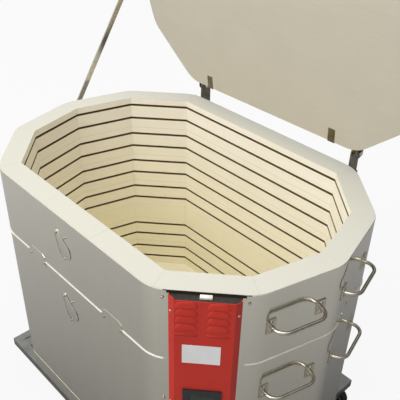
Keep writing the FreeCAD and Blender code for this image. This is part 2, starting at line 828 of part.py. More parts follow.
circle(sketch, "0", "0", "screwHead / 2 + pinClearance")
pad(shutter, sketch, "coverThickness")
for label, level in (("peep_cover_upper", "rimLevel - coverPivotDrop"),
                     ("peep_cover_lower", "rimLevel - coverPivotDrop - 2 * courseHeight")):
    node(label, onFace("PeepCoverAt", shutter, "front", "coverPivotX", "outerOffset", level))

# Screws: a round head on a short shank
screw = newBody("Screw")
sketch = sketchOn(screw, "XZ_Plane")
circle(sketch, "0", "0", "screwHead")
pad(screw, sketch, "screwHeight")
coverScrew = fuse("CoverScrew", [
    rod("CoverShank", "screwHead / 2", "coverGap + coverThickness + pinClearance * 4", "y",
        y="-coverGap - coverThickness - pinClearance * 4"),
    at("CoverHead", screw, y="-coverGap - coverThickness - pinClearance * 4"),
])
pivotScrews = [onFace("PivotScrew", coverScrew, "front", "coverPivotX", "outerOffset", level)
               for level in ("rimLevel - coverPivotDrop", "rimLevel - coverPivotDrop - 2 * courseHeight")]
tabSide = "tabWidth / 2 - tabScrewInset"
tabScrews = []
for face in ("front", "rear"):
    for middle in ("tabLeftX", "tabRightX"):
        for side in ("-", "+"):
            tabScrews.append(onFace("TabScrew", screw, face, "%s %s (%s)" % (middle, side, tabSide),
                                    "outerOffset + tabThickness", seam + " - tabScrewDrop"))
for face, sign in (("rearTip", ""), ("leftRearTip", "-")):
    for side in ("-", "+"):
        along = "%ssideTabAlong %s (sideTabLength / 2 - sideScrewInset)" % (sign, side)
        tabScrews.append(onFace("SideTabScrew", screw, face, along,
                                "outerOffset + tabThickness", seam + " + sideScrewRise"))
boxScrews = [onFace("BoxScrew", screw, "rightFront", along, "outerOffset",
                    "rimLevel - boxTopDrop - %s" % drop)
             for along in ("boxFirst - boxScrewMargin", "boxFirst + boxWidth + boxScrewMargin")
             for drop in ("boxScrewInset", "boxHeight / 2", "(boxHeight - boxScrewInset)")]
node("case_screws", group("CaseScrews", pivotScrews + tabScrews + boxScrews))

# Stand of angle iron under the pan
stand = newBody("Stand")
sketch = sketchOn(stand, "XY_Plane", "standTop - angleLeg")
rectangle(sketch, "-standLength / 2", "standLength / 2", "-outerY", "outerY")
pad(stand, sketch, "angleLeg")
sketch = sketchOn(stand, "XY_Plane", "standTop - angleLeg")
rectangle(sketch, "angleThickness - standLength / 2", "standLength / 2 - angleThickness",
          "angleThickness - outerY", "outerY - angleThickness")
pocket(stand, sketch, "angleLeg - angleThickness", back=True)
sketch = sketchOn(stand, "XY_Plane", "standTop - angleLeg")
rectangle(sketch, "angleLeg - standLength / 2", "standLength / 2 - angleLeg",
          "angleLeg - outerY", "outerY - angleLeg")
pocket(stand, sketch, "angleLeg * 2", back=True)
node("stand_frame", stand)

# Casters: plate, swivelling fork with its axle, and wheel
plate = box("CasterPlate", "casterPlate", "casterPlate", "casterPlateThickness",
            "-casterPlate / 2", "-casterPlate / 2", "-casterPlateThickness")
forkTop = "-casterPlateThickness - slotClearance"
axleLevel = "wheelDiameter / 2 - casterHeight"
race = rod("Race", "raceRadius", "raceHeight", "up", z="%s - raceHeight" % forkTop)
cheek = newBody("ForkCheek")
sketch = sketchOn(cheek, "XZ_Plane", "forkGap / 2")
crownLevel = forkTop + " - raceHeight"
polygon(sketch, [("-raceRadius", crownLevel), ("raceRadius", crownLevel),
                 ("casterTrail + axleRadius * 2", axleLevel),
                 ("casterTrail", axleLevel + " - axleRadius * 2"),
                 ("casterTrail - axleRadius * 2", axleLevel)])
pad(cheek, sketch, "forkSheet", back=False)
crown = box("ForkCrown", "raceRadius * 2", "forkGap + forkSheet * 2", "forkSheet",
            "-raceRadius", "-forkGap / 2 - forkSheet", "%s - raceHeight - forkSheet" % forkTop)
axle = rod("Axle", "axleRadius", "forkGap + forkSheet * 4", "y", "casterTrail",
           "-forkGap / 2 - forkSheet * 2", axleLevel)
fork = fuse("Fork", [race, crown, cheek, mirror("CheekMirror", cheek, V(0, 1, 0)), axle])
wheel = newBody("Wheel")
sketch = sketchOn(wheel, "XZ_Plane")
circle(sketch, "0", "0", "wheelDiameter / 2")
circle(sketch, "0", "0", "axleRadius + pinClearance")
pad(wheel, sketch, "wheelWidth", both=True)
edges = [("Edge%d" % index) for index, edge in enumerate(wheel.Tip.Shape.Edges, 1)
         if edge.Curve.TypeId == "Part::GeomCircle" and edge.Curve.Radius > num("wheelDiameter / 4")]
tyre = wheel.Tip
shoulder = wheel.newObject("PartDesign::Fillet", "TyreShoulders")
shoulder.Base = (tyre, edges)
shoulder.setExpression("Radius", ex("wheelWidth / 5"))
doc.recompute()
plates = []
for label, sideX, sideY in (("front_left", "-", "-"), ("front_right", "", "-"),
                            ("rear_left", "-", ""), ("rear_right", "", "")):
    x = "%s(standLength / 2 - casterInset)" % sideX
    y = "%s(outerY - casterInset)" % sideY
    level = "standTop - angleThickness"
    plates.append(at("PlateAt", plate, x, y, level))
    node("caster_fork_" + label, at("ForkAt", fork, x, y, level))
    node("caster_wheel_" + label,
         at("WheelAt", wheel, x + " + casterTrail", y, "%s + %s" % (level, axleLevel)))
node("caster_plates", group("CasterPlates", plates))

# Hinge posts behind the kiln, bolted to the stand and the sections
post = newBody("HingePost")
sketch = sketchOn(post, "XZ_Plane", "-outerY - postSheet")
postFoot = "standTop - angleLeg"
postTop = "rimLevel - postTopDrop"
rectangle(sketch, "postX - postWeb / 2", "postX + postFlange", postFoot, postTop)
pad(post, sketch, "postSheet")
sketch = sketchOn(post, "YZ_Plane", "postX - postWeb / 2")
farY = "hingeReach + postHeadRadius"
nearY = "hingeReach - postHeadRadius"
polygon(sketch, [("outerY", postFoot), (farY, postFoot), (farY, "hingeLevel"),
                 (nearY, "hingeLevel"), (nearY, postTop), ("outerY", postTop)])
pad(post, sketch, "postWeb")
sketch = sketchOn(post, "YZ_Plane", "postX - postWeb / 2")
circle(sketch, "hingeReach", "hingeLevel", "postHeadRadius")
pad(post, sketch, "postWeb")
sketch = sketchOn(post, "YZ_Plane", "postX - postWeb")
circle(sketch, "hingeReach", "hingeLevel", "pinRadius + pinClearance")
pocket(post, sketch, "postWeb * 2", back=True)
node("hinge_posts", group("HingePosts", [post, mirror("PostMirror", post, V(1, 0, 0))]))

# Hinge pins: head, shank, spacer and end nut
webOuter = "postX + postWeb / 2"
pinStart = "postX - postWeb / 2 - pinClearance"
earOuter = "earInner + earThickness"
pinParts = fuse("HingePin", [
    rod("PinHead", "pinHeadRadius", "pinHeadLength", "x",
        pinStart + " - pinHeadLength", "hingeReach", "hingeLevel"),
    rod("PinShank", "pinRadius", "%s - (%s) + slotClearance" % (earOuter, pinStart), "x",
        pinStart, "hingeReach", "hingeLevel"),
    rod("PinSpacer", "spacerRadius", "earInner - (%s) - slotClearance - pinClearance" % webOuter, "x",
        webOuter + " + pinClearance", "hingeReach", "hingeLevel"),
    rod("PinNut", "pinHeadRadius", "pinHeadLength", "x",
        earOuter + " + slotClearance", "hingeReach", "hingeLevel"),
])
node("hinge_pins", group("HingePins", [pinParts, mirror("PinMirror", pinParts, V(1, 0, 0))]))


# Lid pieces are drawn shut in a frame on the hinge axis and stand open
def onLid(name, items):
    return at(name, group(name + "Shut", items), "0", "hingeReach", "hingeLevel", neg("lidOpen"), V(1, 0, 0))


under = "lidGap - hingeRise"
lidSlab = outlineBody("LidSlab", "wallThickness", "lidThickness", under, neg("hingeReach"), "innerBend")
sketch = sketchOn(lidSlab, "XY_Plane", under, neg("hingeReach"))
for side in ("-", ""):
    rectangle(sketch, "%sstrapX - strapWidth / 2 - slotClearance" % side,
              "%sstrapX + strapWidth / 2 + slotClearance" % side,
              "tongueStart - slotClearance", "outerY + strapThickness")
pocket(lidSlab, sketch, "strapThickness + slotClearance", back=True)
node("lid_slab", onLid("LidSlabOpen", [lidSlab]))
lidBand = outlineBody("LidBand", "outerOffset", "lidThickness - 2 * bandMargin",
                      under + " + bandMargin", neg("hingeReach"), "jacketBend")
hollow(lidBand, "jacketThickness", ["top", "bottom"])
node("lid_band", onLid("LidBandOpen", [lidBand]))

strap = newBody("Strap")
sketch = sketchOn(strap, "YZ_Plane", "strapX - strapWidth / 2")
rearY = "outerY - hingeReach"
polygon(sketch, [("tongueStart - hingeReach", under), (rearY + " + strapThickness", under),
                 (rearY + " + strapThickness", under + " + lidThickness + strapThickness"),
                 (rearY + " - strapTopRun", under + " + lidThickness + strapThickness"),
                 (rearY + " - strapTopRun", under + " + lidThickness"),
                 (rearY, under + " + lidThickness"), (rearY, under + " + strapThickness"),
                 ("tongueStart - hingeReach", under + " + strapThickness")])
pad(strap, sketch, "strapWidth")
node("lid_straps", onLid("LidStrapsOpen", [strap, mirror("StrapMirror", strap, V(1, 0, 0))]))

lidHandleAt = at("LidHandleShut", handle, "0", "-outerY - hingeReach", "0")
node("lid_handle", onLid("LidHandleOpen", [lidHandleAt]))

# Ears that carry the lid on the pins, with feet shaped to the band
lidOuter = outlineBody("LidEarSkin", "outerOffset + padThickness", "lidThickness", under,
                       neg("hingeReach"), "jacketBend + padThickness")
lidInner = outlineBody("LidEarBack", "outerOffset", "lidThickness", under, neg("hingeReach"), "jacketBend")
ear = newBody("LidEar")
sketch = sketchOn(ear, "YZ_Plane", "earInner")
circle(sketch, "0", "0", "earRadius")
pad(ear, sketch, "earThickness")
sketch = sketchOn(ear, "YZ_Plane", "earInner")
rectangle(sketch, "-hingeReach + outerY - earFootWidth", "0", "-earRadius", "earRadius")
pad(ear, sketch, "earThickness")
earFoot = common("EarFoot", [lidOuter, box(
    "EarFootBox", "earFootWidth", "earFootWidth * 2", "earFootHeight",
    "earInner", "outerY - hingeReach - earFootWidth", "-earFootHeight / 2")])
earBlank = cut("EarTrim", fuse("EarJoin", [ear, earFoot]), lidInner)
earPiece = cut("EarPiece", earBlank, rod("EarBore", "pinRadius + pinClearance", "earFootWidth * 2", "x",
                                         "earInner - earThickness"))
node("lid_ears", onLid("LidEarsOpen", [earPiece, mirror("EarMirror", earPiece, V(1, 0, 0))]))


# Lid stay: brackets on the lid and the upper section, a flat bar, a swivelling guide and its knob
def stayBracket(name, skin, back, y, z, padLow):
    foot = common(name + "Foot", [skin, box(name + "Pad", "jacketBend", "stayPadSize", "stayPadSize",
                                            "-tipX - jacketBend", "%s - stayPadSize / 2" % y,
                                            "%s - %s" % (z, padLow))])
    boss = rod(name + "Boss", "stayBossRadius", "stayX - guideDepth / 2 - stayWasher - tipX", "x",
               "guideDepth / 2 + stayWasher - stayX", y, z)
    return foot, boss


lidFoot, lidBoss = stayBracket("StayLid", lidOuter, lidInner, "stayLidY - hingeReach", "0", "stayPadSize / 2")
lidPin = rod("StayLidPin", "stayPinRadius", "guideDepth + 2 * stayWasher", "x",
             "-stayX - guideDepth / 2", "stayLidY - hingeReach", "0")
lidBracket = cut("StayLidBracket", fuse("StayLidJoin", [lidFoot, lidBoss, lidPin]), lidInner)
node("stay_lid_bracket", onLid("StayLidBracketOpen", [lidBracket]))

bodySkin = outlineBody("StaySkin", "outerOffset + padThickness", "2 * courseHeight", "jointLevel",
                       radius="jacketBend + padThickness")
bodyBack = outlineBody("StayBack", "outerOffset", "2 * courseHeight", "jointLevel", radius="jacketBend")
guideLevel = "rimLevel - stayGuideDrop"
bodyFoot, bodyBoss = stayBracket("StayBody", bodySkin, bodyBack, "stayGuideY", guideLevel, "stayPadSize / 2")
bodyPin = rod("StayBodyPin", "stayPinRadius", "guideDepth / 4 + stayWasher", "x",
              "guideDepth / 4 - stayX", "stayGuideY", guideLevel)
bodyJoin = fuse("StayBodyJoin", [bodyFoot, bodyBoss, bodyPin])
node("stay_body_bracket", cut("StayBodyBracket", bodyJoin, bodyBack))

# The bar's line runs from the lid pivot, as it stands open, through the guide
pivotY = "hingeReach + (stayLidY - hingeReach) * cos(lidOpen)"
pivotZ = "hingeLevel - (stayLidY - hingeReach) * sin(lidOpen)"
leanAngle = "atan((%s - stayGuideY) / (%s - (%s)))" % (pivotY, pivotZ, guideLevel)
stayBar = newBody("StayBar")
sketch = sketchOn(stayBar, "YZ_Plane", "-stayBarThickness / 2")
rectangle(sketch, "-stayBarWidth / 2", "stayBarWidth / 2", "-stayBarLength", "0")
pad(stayBar, sketch, "stayBarThickness")
sketch = sketchOn(stayBar, "YZ_Plane", "-stayBarThickness / 2")
circle(sketch, "0", "0", "stayEyeRadius")
pad(stayBar, sketch, "stayBarThickness")
sketch = sketchOn(stayBar, "YZ_Plane", "-stayBarThickness")
circle(sketch, "0", "0", "stayPinRadius + pinClearance")
pocket(stayBar, sketch, "stayBarThickness * 2", back=True)
node("stay_bar", at("StayBarAt", stayBar, "-stayX", pivotY, pivotZ, neg(leanAngle), V(1, 0, 0)))

guideBlock = newBody("StayGuide")
sketch = sketchOn(guideBlock, "XY_Plane", "-guideLength / 2")
rectangle(sketch, "-guideDepth / 2", "guideDepth / 2", "-guideWidth / 2", "guideWidth / 2")
pad(guideBlock, sketch, "guideLength")
sketch = sketchOn(guideBlock, "XY_Plane", "-guideLength / 2")
rectangle(sketch, "-stayBarThickness / 2 - slotClearance", "stayBarThickness / 2 + slotClearance",
          "-stayBarWidth / 2 - slotClearance", "stayBarWidth / 2 + slotClearance")
pocket(guideBlock, sketch, "guideLength", back=True)
sketch = sketchOn(guideBlock, "YZ_Plane", "guideDepth / 4 - slotClearance")
circle(sketch, "0", "0", "stayPinRadius + pinClearance")
pocket(guideBlock, sketch, "guideDepth", back=True)
sketch = sketchOn(guideBlock, "YZ_Plane", "-stayBarThickness / 2")
circle(sketch, "0", "0", "knobStem / 2 + pinClearance")
pocket(guideBlock, sketch, "guideDepth")
guidePlace = ("-stayX", "stayGuideY", guideLevel, neg(leanAngle), V(1, 0, 0))
node("stay_guide", at("StayGuideAt", guideBlock, *guidePlace))

knob = newBody("StayKnob")
sketch = sketchOn(knob, "YZ_Plane", "-guideDepth / 2 - stayWasher")
circle(sketch, "0", "0", "knobRadius")
pad(knob, sketch, "knobLength", back=True)
sketch = sketchOn(knob, "YZ_Plane", "-stayBarThickness / 2 - slotClearance * 2")
circle(sketch, "0", "0", "knobStem / 2")
pad(knob, sketch, "guideDepth / 2", back=True)
node("stay_knob", at("StayKnobAt", knob, *guidePlace))

# Control box: a stainless back with two uprights and a foot, drawn from its left edge and top
boxBack = newBody("BoxBack")
sketch = sketchOn(boxBack, "XY_Plane", "-boxHeight")
polygon(sketch, [
    ("-boxWing", "0"), ("-boxWing", "-jacketThickness"), ("boxSheet", "-jacketThickness"),
    ("boxSheet", "-boxBackDepth"), ("boxSheet * 2", "-boxBackDepth"), ("boxSheet * 2", "-jacketThickness"),
    ("boxWidth - boxSheet * 2", "-jacketThickness"), ("boxWidth - boxSheet * 2", "-boxBackDepth"),
    ("boxWidth - boxSheet", "-boxBackDepth"), ("boxWidth - boxSheet", "-jacketThickness"),
    ("boxWidth + boxWing", "-jacketThickness"), ("boxWidth + boxWing", "0")])
pad(boxBack, sketch, "boxHeight")
sketch = sketchOn(boxBack, "XY_Plane", "-boxHeight")
footY = "-boxBackDepth + boxSheet / 2"
polygon(sketch, [
    ("boxSheet", "0"), ("boxSheet", footY), ("boxSlopeWidth + boxSheet", "-frontDepth + boxSheet * 2"),
    ("boxWidth - boxSlopeWidth - boxSheet", "-frontDepth + boxSheet * 2"),
    ("boxWidth - boxSheet", footY), ("boxWidth - boxSheet", "0")])
pad(boxBack, sketch, "boxSheet")
sketch = sketchOn(boxBack, "XZ_Plane", "-jacketThickness")
for label, bricks, level in courses:
    base = "%s - rimLevel + boxTopDrop + courseHeight - grooveFirst - groovePitch" % level
    if bricks is not plainBricks:
        rectangle(sketch, "leadAlong - leadStep - tubeDiameter - boxFirst",
                  "leadAlong + leadStep + tubeDiameter - boxFirst",
                  base + " - tubeDiameter", base + " + groovePitch + tubeDiameter")
sensorLevel = "jointLevel - courseHeight - peepDrop"
circle(sketch, "leadAlong - boxFirst", sensorLevel + " - rimLevel + boxTopDrop",
       "sensorRadius + sensorClearance")
pocket(boxBack, sketch, "jacketThickness * 4", back=False, both=True)
sketch = sketchOn(boxBack, "XY_Plane", "-boxHeight - boxSheet")
circle(sketch, "boxWidth / 2", "-frontDepth / 2", "glandHole")
pocket(boxBack, sketch, "boxSheet * 3", back=True)
boxStart = ("rightFront", "boxFirst", "outerOffset", "rimLevel - boxTopDrop")
node("box_back", onFace("BoxBackAt", boxBack, *boxStart))

# The red cover: a folded sheet with sloping sides and rows of louvre slots
cover = newBody("BoxCover")
sketch = sketchOn(cover, "XY_Plane", "-boxHeight")
lip = "boxLap - boxBackDepth - slotClearance"
foldY = "-boxBackDepth - slotClearance"
frontY = "-frontDepth"
polygon(sketch, [
    ("0", lip), ("0", foldY), ("boxSlopeWidth", frontY), ("boxWidth - boxSlopeWidth", frontY),
    ("boxWidth", foldY), ("boxWidth", lip), ("boxWidth - boxSheet + boxClearance", lip),
    ("boxWidth - boxSheet + boxClearance", foldY),
    ("boxWidth - boxSlopeWidth - boxSheet / 3", frontY + " + boxSheet"),
    ("boxSlopeWidth + boxSheet / 3", frontY + " + boxSheet"), ("boxSheet - boxClearance", foldY),
    ("boxSheet - boxClearance", lip)])
pad(cover, sketch, "boxHeight")


def slots(drop, count):
    sketch = sketchOn(cover, "XZ_Plane", "frontDepth")
    for column in ("0", "louvreColumn"):
        middle = "louvreFirst - boxFirst + %s" % column
        rectangle(sketch, middle + " - louvreWidth / 2", middle + " + louvreWidth / 2",
                  "boxTopDrop - %s - louvreSlot" % drop, "boxTopDrop - %s" % drop)
    first = pocket(cover, sketch, "boxSheet * 4", both=True)
    repeat(cover, first, "Z_Axis", "louvrePitch", count, back=True)


slots("louvreDrop", 4)
slots("relayDrop", 6)
panelLeft = "(boxWidth - panelWidth) / 2"
panelLow = "boxTopDrop - panelDrop - panelHeight"
sketch = sketchOn(cover, "XZ_Plane", "frontDepth")
hole = "moduleMargin - moduleClearance"
rectangle(sketch, "%s + %s" % (panelLeft, hole), "%s + panelWidth - (%s)" % (panelLeft, hole),
          "%s + %s" % (panelLow, hole), "%s + panelHeight - (%s)" % (panelLow, hole))
switchLow = "boxTopDrop - switchDrop - switchHeight"
switchLeft = "(boxWidth - switchWidth) / 2"
rectangle(sketch, switchLeft + " + switchFlange", switchLeft + " + switchWidth - switchFlange",
          switchLow + " + switchFlange", switchLow + " + switchHeight - switchFlange")
pocket(cover, sketch, "boxSheet * 4", both=True)
node("box_cover", onFace("BoxCoverAt", cover, *boxStart))

labelPlate = box("LabelPlate", "labelWidth", "labelThickness", "labelHeight", "labelFirst - boxFirst",
                 "-frontDepth - labelThickness", "boxTopDrop - labelDrop - labelHeight")
node("label_plate", onFace("LabelPlateAt", labelPlate, *boxStart))

# Controller: face plate, screen recess, key holes and the module behind the cover
panel = newBody("Controller")
sketch = sketchOn(panel, "XZ_Plane", "frontDepth")
rectangle(sketch, panelLeft, panelLeft + " + panelWidth", panelLow, panelLow + " + panelHeight")
pad(panel, sketch, "panelThickness")
sketch = sketchOn(panel, "XZ_Plane", "frontDepth")
rectangle(sketch, panelLeft + " + moduleMargin", panelLeft + " + panelWidth - moduleMargin",
          panelLow + " + moduleMargin", panelLow + " + panelHeight - moduleMargin")
pad(panel, sketch, "moduleDepth", back=True)
sketch = sketchOn(panel, "XZ_Plane", "frontDepth + panelThickness")
screenLow = panelLow + " + panelHeight - screenHeight - screenDrop"
rectangle(sketch, "boxWidth / 2 - screenWidth / 2", "boxWidth / 2 + screenWidth / 2",
          screenLow, screenLow + " + screenHeight")
pocket(panel, sketch, "screenDepth")
sketch = sketchOn(panel, "XZ_Plane", "frontDepth + panelThickness")
keyLow = panelLow + " + keyLevel"
keyMiddles = ["boxWidth / 2 - keyPitch", "boxWidth / 2", "boxWidth / 2 + keyPitch"]
for middle in keyMiddles:
    rectangle(sketch, middle + " - keySize / 2 - keyClearance", middle + " + keySize / 2 + keyClearance",
              keyLow + " - keyClearance", keyLow + " + keySize + keyClearance")
pocket(panel, sketch, "keyDepth + keyRise")
node("controller", onFace("ControllerAt", panel, *boxStart))
for index, middle in enumerate(keyMiddles, 1):
    key = box("Key", "keySize", "keyDepth + keyRise - keyTravel", "keySize", middle + " - keySize / 2",
              "-frontDepth - panelThickness - keyRise", keyLow)
    node("key_%d" % index, onFace("KeyAt", key, *boxStart))

# Power switch: a housing with a rocker that tips on a cross pin
housing = newBody("SwitchHousing")
sketch = sketchOn(housing, "XZ_Plane", "frontDepth")
rectangle(sketch, switchLeft, switchLeft + " + switchWidth", switchLow, switchLow + " + switchHeight")
pad(housing, sketch, "switchFlange")
sketch = sketchOn(housing, "XZ_Plane", "frontDepth")
inset = "(switchFlange + keyClearance)"
rectangle(sketch, "%s + %s" % (switchLeft, inset), "%s + switchWidth - %s" % (switchLeft, inset),
          "%s + %s" % (switchLow, inset), "%s + switchHeight - %s" % (switchLow, inset))
pad(housing, sketch, "switchDepth", back=True)
sketch = sketchOn(housing, "XZ_Plane", "frontDepth + switchFlange")
rockerSide = "(rockerWidth / 2 + rockerClearance)"
rockerEnd = "(rockerRadius + rockerEndGap)"
rockerLevel = switchLow + " + switchHeight / 2"
rectangle(sketch, "boxWidth / 2 - " + rockerSide, "boxWidth / 2 + " + rockerSide,
          "%s - %s" % (rockerLevel, rockerEnd), "%s + %s" % (rockerLevel, rockerEnd))
pocket(housing, sketch, "switchDepth")
sketch = sketchOn(housing, "YZ_Plane", "boxWidth / 2")
circle(sketch, "rockerSink - frontDepth", rockerLevel, "rockerPin + pinClearance")
pocket(housing, sketch, "rockerWidth + rockerPinReach * 2 + rockerClearance", both=True)
node("switch_housing", onFace("HousingAt", housing, *boxStart))
rocker = newBody("Rocker")
sketch = sketchOn(rocker, "YZ_Plane", "-rockerWidth / 2")
polygon(sketch, [("-rockerRadius / 4", "-rockerRadius"), ("rockerRadius / 2", "-rockerRadius * 0.9"),
                 ("rockerRadius * 0.7", "0"), ("rockerRadius / 2", "rockerRadius * 0.9"),
                 ("-rockerRadius * 0.55", "rockerRadius"), ("-rockerRadius / 4", "0")])
pad(rocker, sketch, "rockerWidth")
sketch = sketchOn(rocker, "YZ_Plane")
circle(sketch, "0", "0", "rockerPin")
pad(rocker, sketch, "rockerWidth + rockerPinReach * 2", both=True)
rockerAt = at("RockerAt", rocker, "boxWidth / 2", "rockerSink - frontDepth", rockerLevel)
node("power_rocker", onFace("RockerOn", rockerAt, *boxStart))

# Inside the box: relays, terminal block, sensor and cable gland
relay = box("Relay", "relayWidth", "relayDepth", "relayHeight", "-relayWidth / 2",
            "-relayDepth - jacketThickness", "-relayHeight / 2")
relays = [at("RelayAt", relay, "boxWidth / 2 %s boxWidth / 4" % side, "0",
             "boxTopDrop - relayDrop - %d * relayPitch" % row) for side in ("-", "+") for row in (0, 1)]
node("relays", onFace("RelaysAt", group("Relays", relays), *boxStart))
block = newBody("TerminalBlock")
sketch = sketchOn(block, "XZ_Plane", "jacketThickness")
blockLow = "blockRise - boxHeight"
rectangle(sketch, "boxWidth / 2 - blockWidth / 2", "boxWidth / 2 + blockWidth / 2",
          blockLow, blockLow + " + blockHeight")
pad(block, sketch, "blockDepth")
sketch = sketchOn(block, "XZ_Plane", "jacketThickness + blockDepth")
wellLeft = "boxWidth / 2 - blockWidth / 2 + wellInset"
rectangle(sketch, wellLeft, wellLeft + " + wellWidth",
          blockLow + " + blockRim", blockLow + " + blockHeight - blockRim")
well = pocket(block, sketch, "blockDepth / 2")
repeat(block, well, "X_Axis", "blockWidth / 6", 6)
node("terminal_block", onFace("BlockAt", block, *boxStart))

sensor = fuse("Sensor", [
    rod("SensorRod", "sensorRadius", "outerOffset + sensorStandoff + sensorReach", "y",
        y="-outerOffset - sensorStandoff"),
    box("SensorHead", "sensorHead", "sensorHead / 2", "sensorHead", "-sensorHead / 2",
        "-outerOffset - sensorStandoff - sensorHead / 2", "-sensorHead / 2"),
])
node("thermocouple", onFace("SensorAt", sensor, "rightFront", "leadAlong", "0", sensorLevel))

gland = fuse("Gland", [
    rod("GlandBody", "glandNeck", "glandLength", "up", z="glandInside - glandLength"),
    rod("GlandCapAt", "glandRadius", "glandCap", "up", z="-glandCap - glandFlange"),
    rod("GlandCollar", "glandNut / 2 + glandFlange", "glandFlange", "up", z="-glandFlange"),
])
glandAt = at("GlandAt", gland, "boxWidth / 2", "-frontDepth / 2", "-boxHeight")
node("cable_gland", onFace("GlandOn", glandAt, *boxStart))

doc.recompute()
for item in doc.Objects:
    if "Invalid" in item.State or "Error" in item.State:
        raise RuntimeError("failed object: %s %s" % (item.Label, item.State))
for label, item in nodes.items():
    if item.Shape.isNull() or not item.Shape.isValid():
        raise RuntimeError("bad shape: " + label)
    if not item.Shape.Solids:
        raise RuntimeError("no solid: " + label)
for label, item in nodes.items():
    item.Shape.exportStep("parts/%s.step" % label)
print("wrote %d pieces" % len(nodes))
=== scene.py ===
import math
import bpy
import bmesh
from mathutils import Matrix, Vector


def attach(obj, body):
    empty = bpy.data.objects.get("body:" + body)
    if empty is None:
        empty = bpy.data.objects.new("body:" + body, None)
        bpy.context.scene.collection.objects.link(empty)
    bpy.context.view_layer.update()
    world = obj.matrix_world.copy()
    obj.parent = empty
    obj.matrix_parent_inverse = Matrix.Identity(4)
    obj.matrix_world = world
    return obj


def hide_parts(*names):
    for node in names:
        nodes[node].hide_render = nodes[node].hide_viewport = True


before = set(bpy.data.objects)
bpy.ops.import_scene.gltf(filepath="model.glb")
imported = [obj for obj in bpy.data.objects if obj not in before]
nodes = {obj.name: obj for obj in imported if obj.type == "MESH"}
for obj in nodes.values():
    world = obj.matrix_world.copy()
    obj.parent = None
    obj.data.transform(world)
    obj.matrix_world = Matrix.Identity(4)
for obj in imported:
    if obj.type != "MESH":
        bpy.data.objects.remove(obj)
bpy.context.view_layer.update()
print("frame loaded:", len(nodes), "nodes")

# sizes in the sets below are in mm where they aren't multiplied by it
mm = 0.001
rimHeight = 749.3
courseHeight = 114.3
section = 2 * courseHeight  # from the upper peephole and handles down to the lower ones
skin = 65  # the jacket's outer face, out from the chamber's wall
boxFront = 88  # the box cover's front, out from the chamber's wall
plan = {"straight": 652 * mm, "facet": 201 * mm, "turnWall": 42, "turnMid": 33}
levels = {"rim": rimHeight * mm, "course": courseHeight * mm, "floor": -166.7 * mm, "hinge": 787.3 * mm}
hingeY = 418.9965 * mm
lidOpen = 84


def tone(red, green, blue):
    # a colour as a picture shows it, made linear
    shares = [value / 255 for value in (red, green, blue)]
    return [((share + 0.055) / 1.055) ** 2.4 if share > 0.04 else share / 12.92 for share in shares] + [1]


def clearSelection():
    if bpy.context.object and bpy.context.object.mode != "OBJECT":
        bpy.ops.object.mode_set(mode="OBJECT")
    bpy.ops.object.select_all(action="DESELECT")


def turnZ(degrees):
    return Matrix.Rotation(math.radians(degrees), 4, "Z")


# the chamber's plan at an offset into the wall
def planCorners(offset):
    wallTurn = math.radians(plan["turnWall"])
    midTurn = math.radians(plan["turnWall"] + plan["turnMid"])
    tipTurn = math.radians(90 - plan["turnWall"] - plan["turnMid"])
    halfWidth = plan["facet"] * (math.sin(wallTurn) + math.sin(midTurn))
    half = plan["straight"] / 2
    between = wallTurn / 2 + midTurn / 2
    corner = (half + offset * math.tan(wallTurn / 2), halfWidth + offset)
    reach = offset / math.cos(midTurn - between)
    middle = (half + plan["facet"] * math.cos(wallTurn) + reach * math.sin(between),
              plan["facet"] * math.sin(midTurn) + reach * math.cos(between))
    tip = (half + plan["facet"] * (math.cos(wallTurn) + math.cos(midTurn)) + offset / math.cos(tipTurn), 0)
    right = [(corner[0], -corner[1]), (middle[0], -middle[1]), tip, middle, corner]
    return right + [(-x, y) for x, y in reversed(right)]


# camera solved from the rim, the courses and the lid
cameraSet = {"place": (1.1703, -1.0388, 1.6848), "aim": (0.16602, -0.06813, 0.7493), "roll": 1.486,
             "lens": 55.76, "sensor": 36}


def makeCamera(made):
    data = bpy.data.cameras.new("kilnCamera")
    data.lens = made["lens"]
    data.sensor_width = made["sensor"]
    camera = bpy.data.objects.new("kilnCamera", data)
    bpy.context.collection.objects.link(camera)
    camera.location = made["place"]
    look = (Vector(made["aim"]) - Vector(made["place"])).to_track_quat("-Z", "Y").to_matrix()
    turned = look @ Matrix.Rotation(math.radians(made["roll"]), 3, "Z")
    camera.rotation_euler = turned.to_euler()
    bpy.context.scene.camera = camera


makeCamera(cameraSet)
bpy.context.scene.view_settings.view_transform = "Standard"


# shader helpers
def newMaterial(name, metallic=0.0, roughness=0.5):
    material = bpy.data.materials.new(name)
    material.use_nodes = True
    shader = material.node_tree.nodes["Principled BSDF"]
    shader.inputs["Metallic"].default_value = metallic
    shader.inputs["Roughness"].default_value = roughness
    return material, material.node_tree, shader


def addNode(tree, kind, **settings):
    made = tree.nodes.new(kind)
    for key, value in settings.items():
        if key in made.inputs:
            made.inputs[key].default_value = value
        else:
            setattr(made, key, value)
    return made


def plug(tree, socket, value):
    if isinstance(value, bpy.types.NodeSocket):
        tree.links.new(value, socket)
    else:
        socket.default_value = value


def newGroup(name, inputs, outputs):
    tree = bpy.data.node_groups.new(name, "ShaderNodeTree")
    for label, kind, value in inputs:
        socket = tree.interface.new_socket(label, in_out="INPUT", socket_type=kind)
        if value is not None:
            socket.default_value = value
    for label, kind in outputs:
        tree.interface.new_socket(label, in_out="OUTPUT", socket_type=kind)
    return tree, tree.nodes.new("NodeGroupInput"), tree.nodes.new("NodeGroupOutput")


def mixColour(tree, factor, first, second):
    made = tree.nodes.new("ShaderNodeMix")
    made.data_type = "RGBA"
    for socket, value in ((made.inputs[0], factor), (made.inputs[6], first), (made.inputs[7], second)):
        plug(tree, socket, value)
    return made.outputs[2]


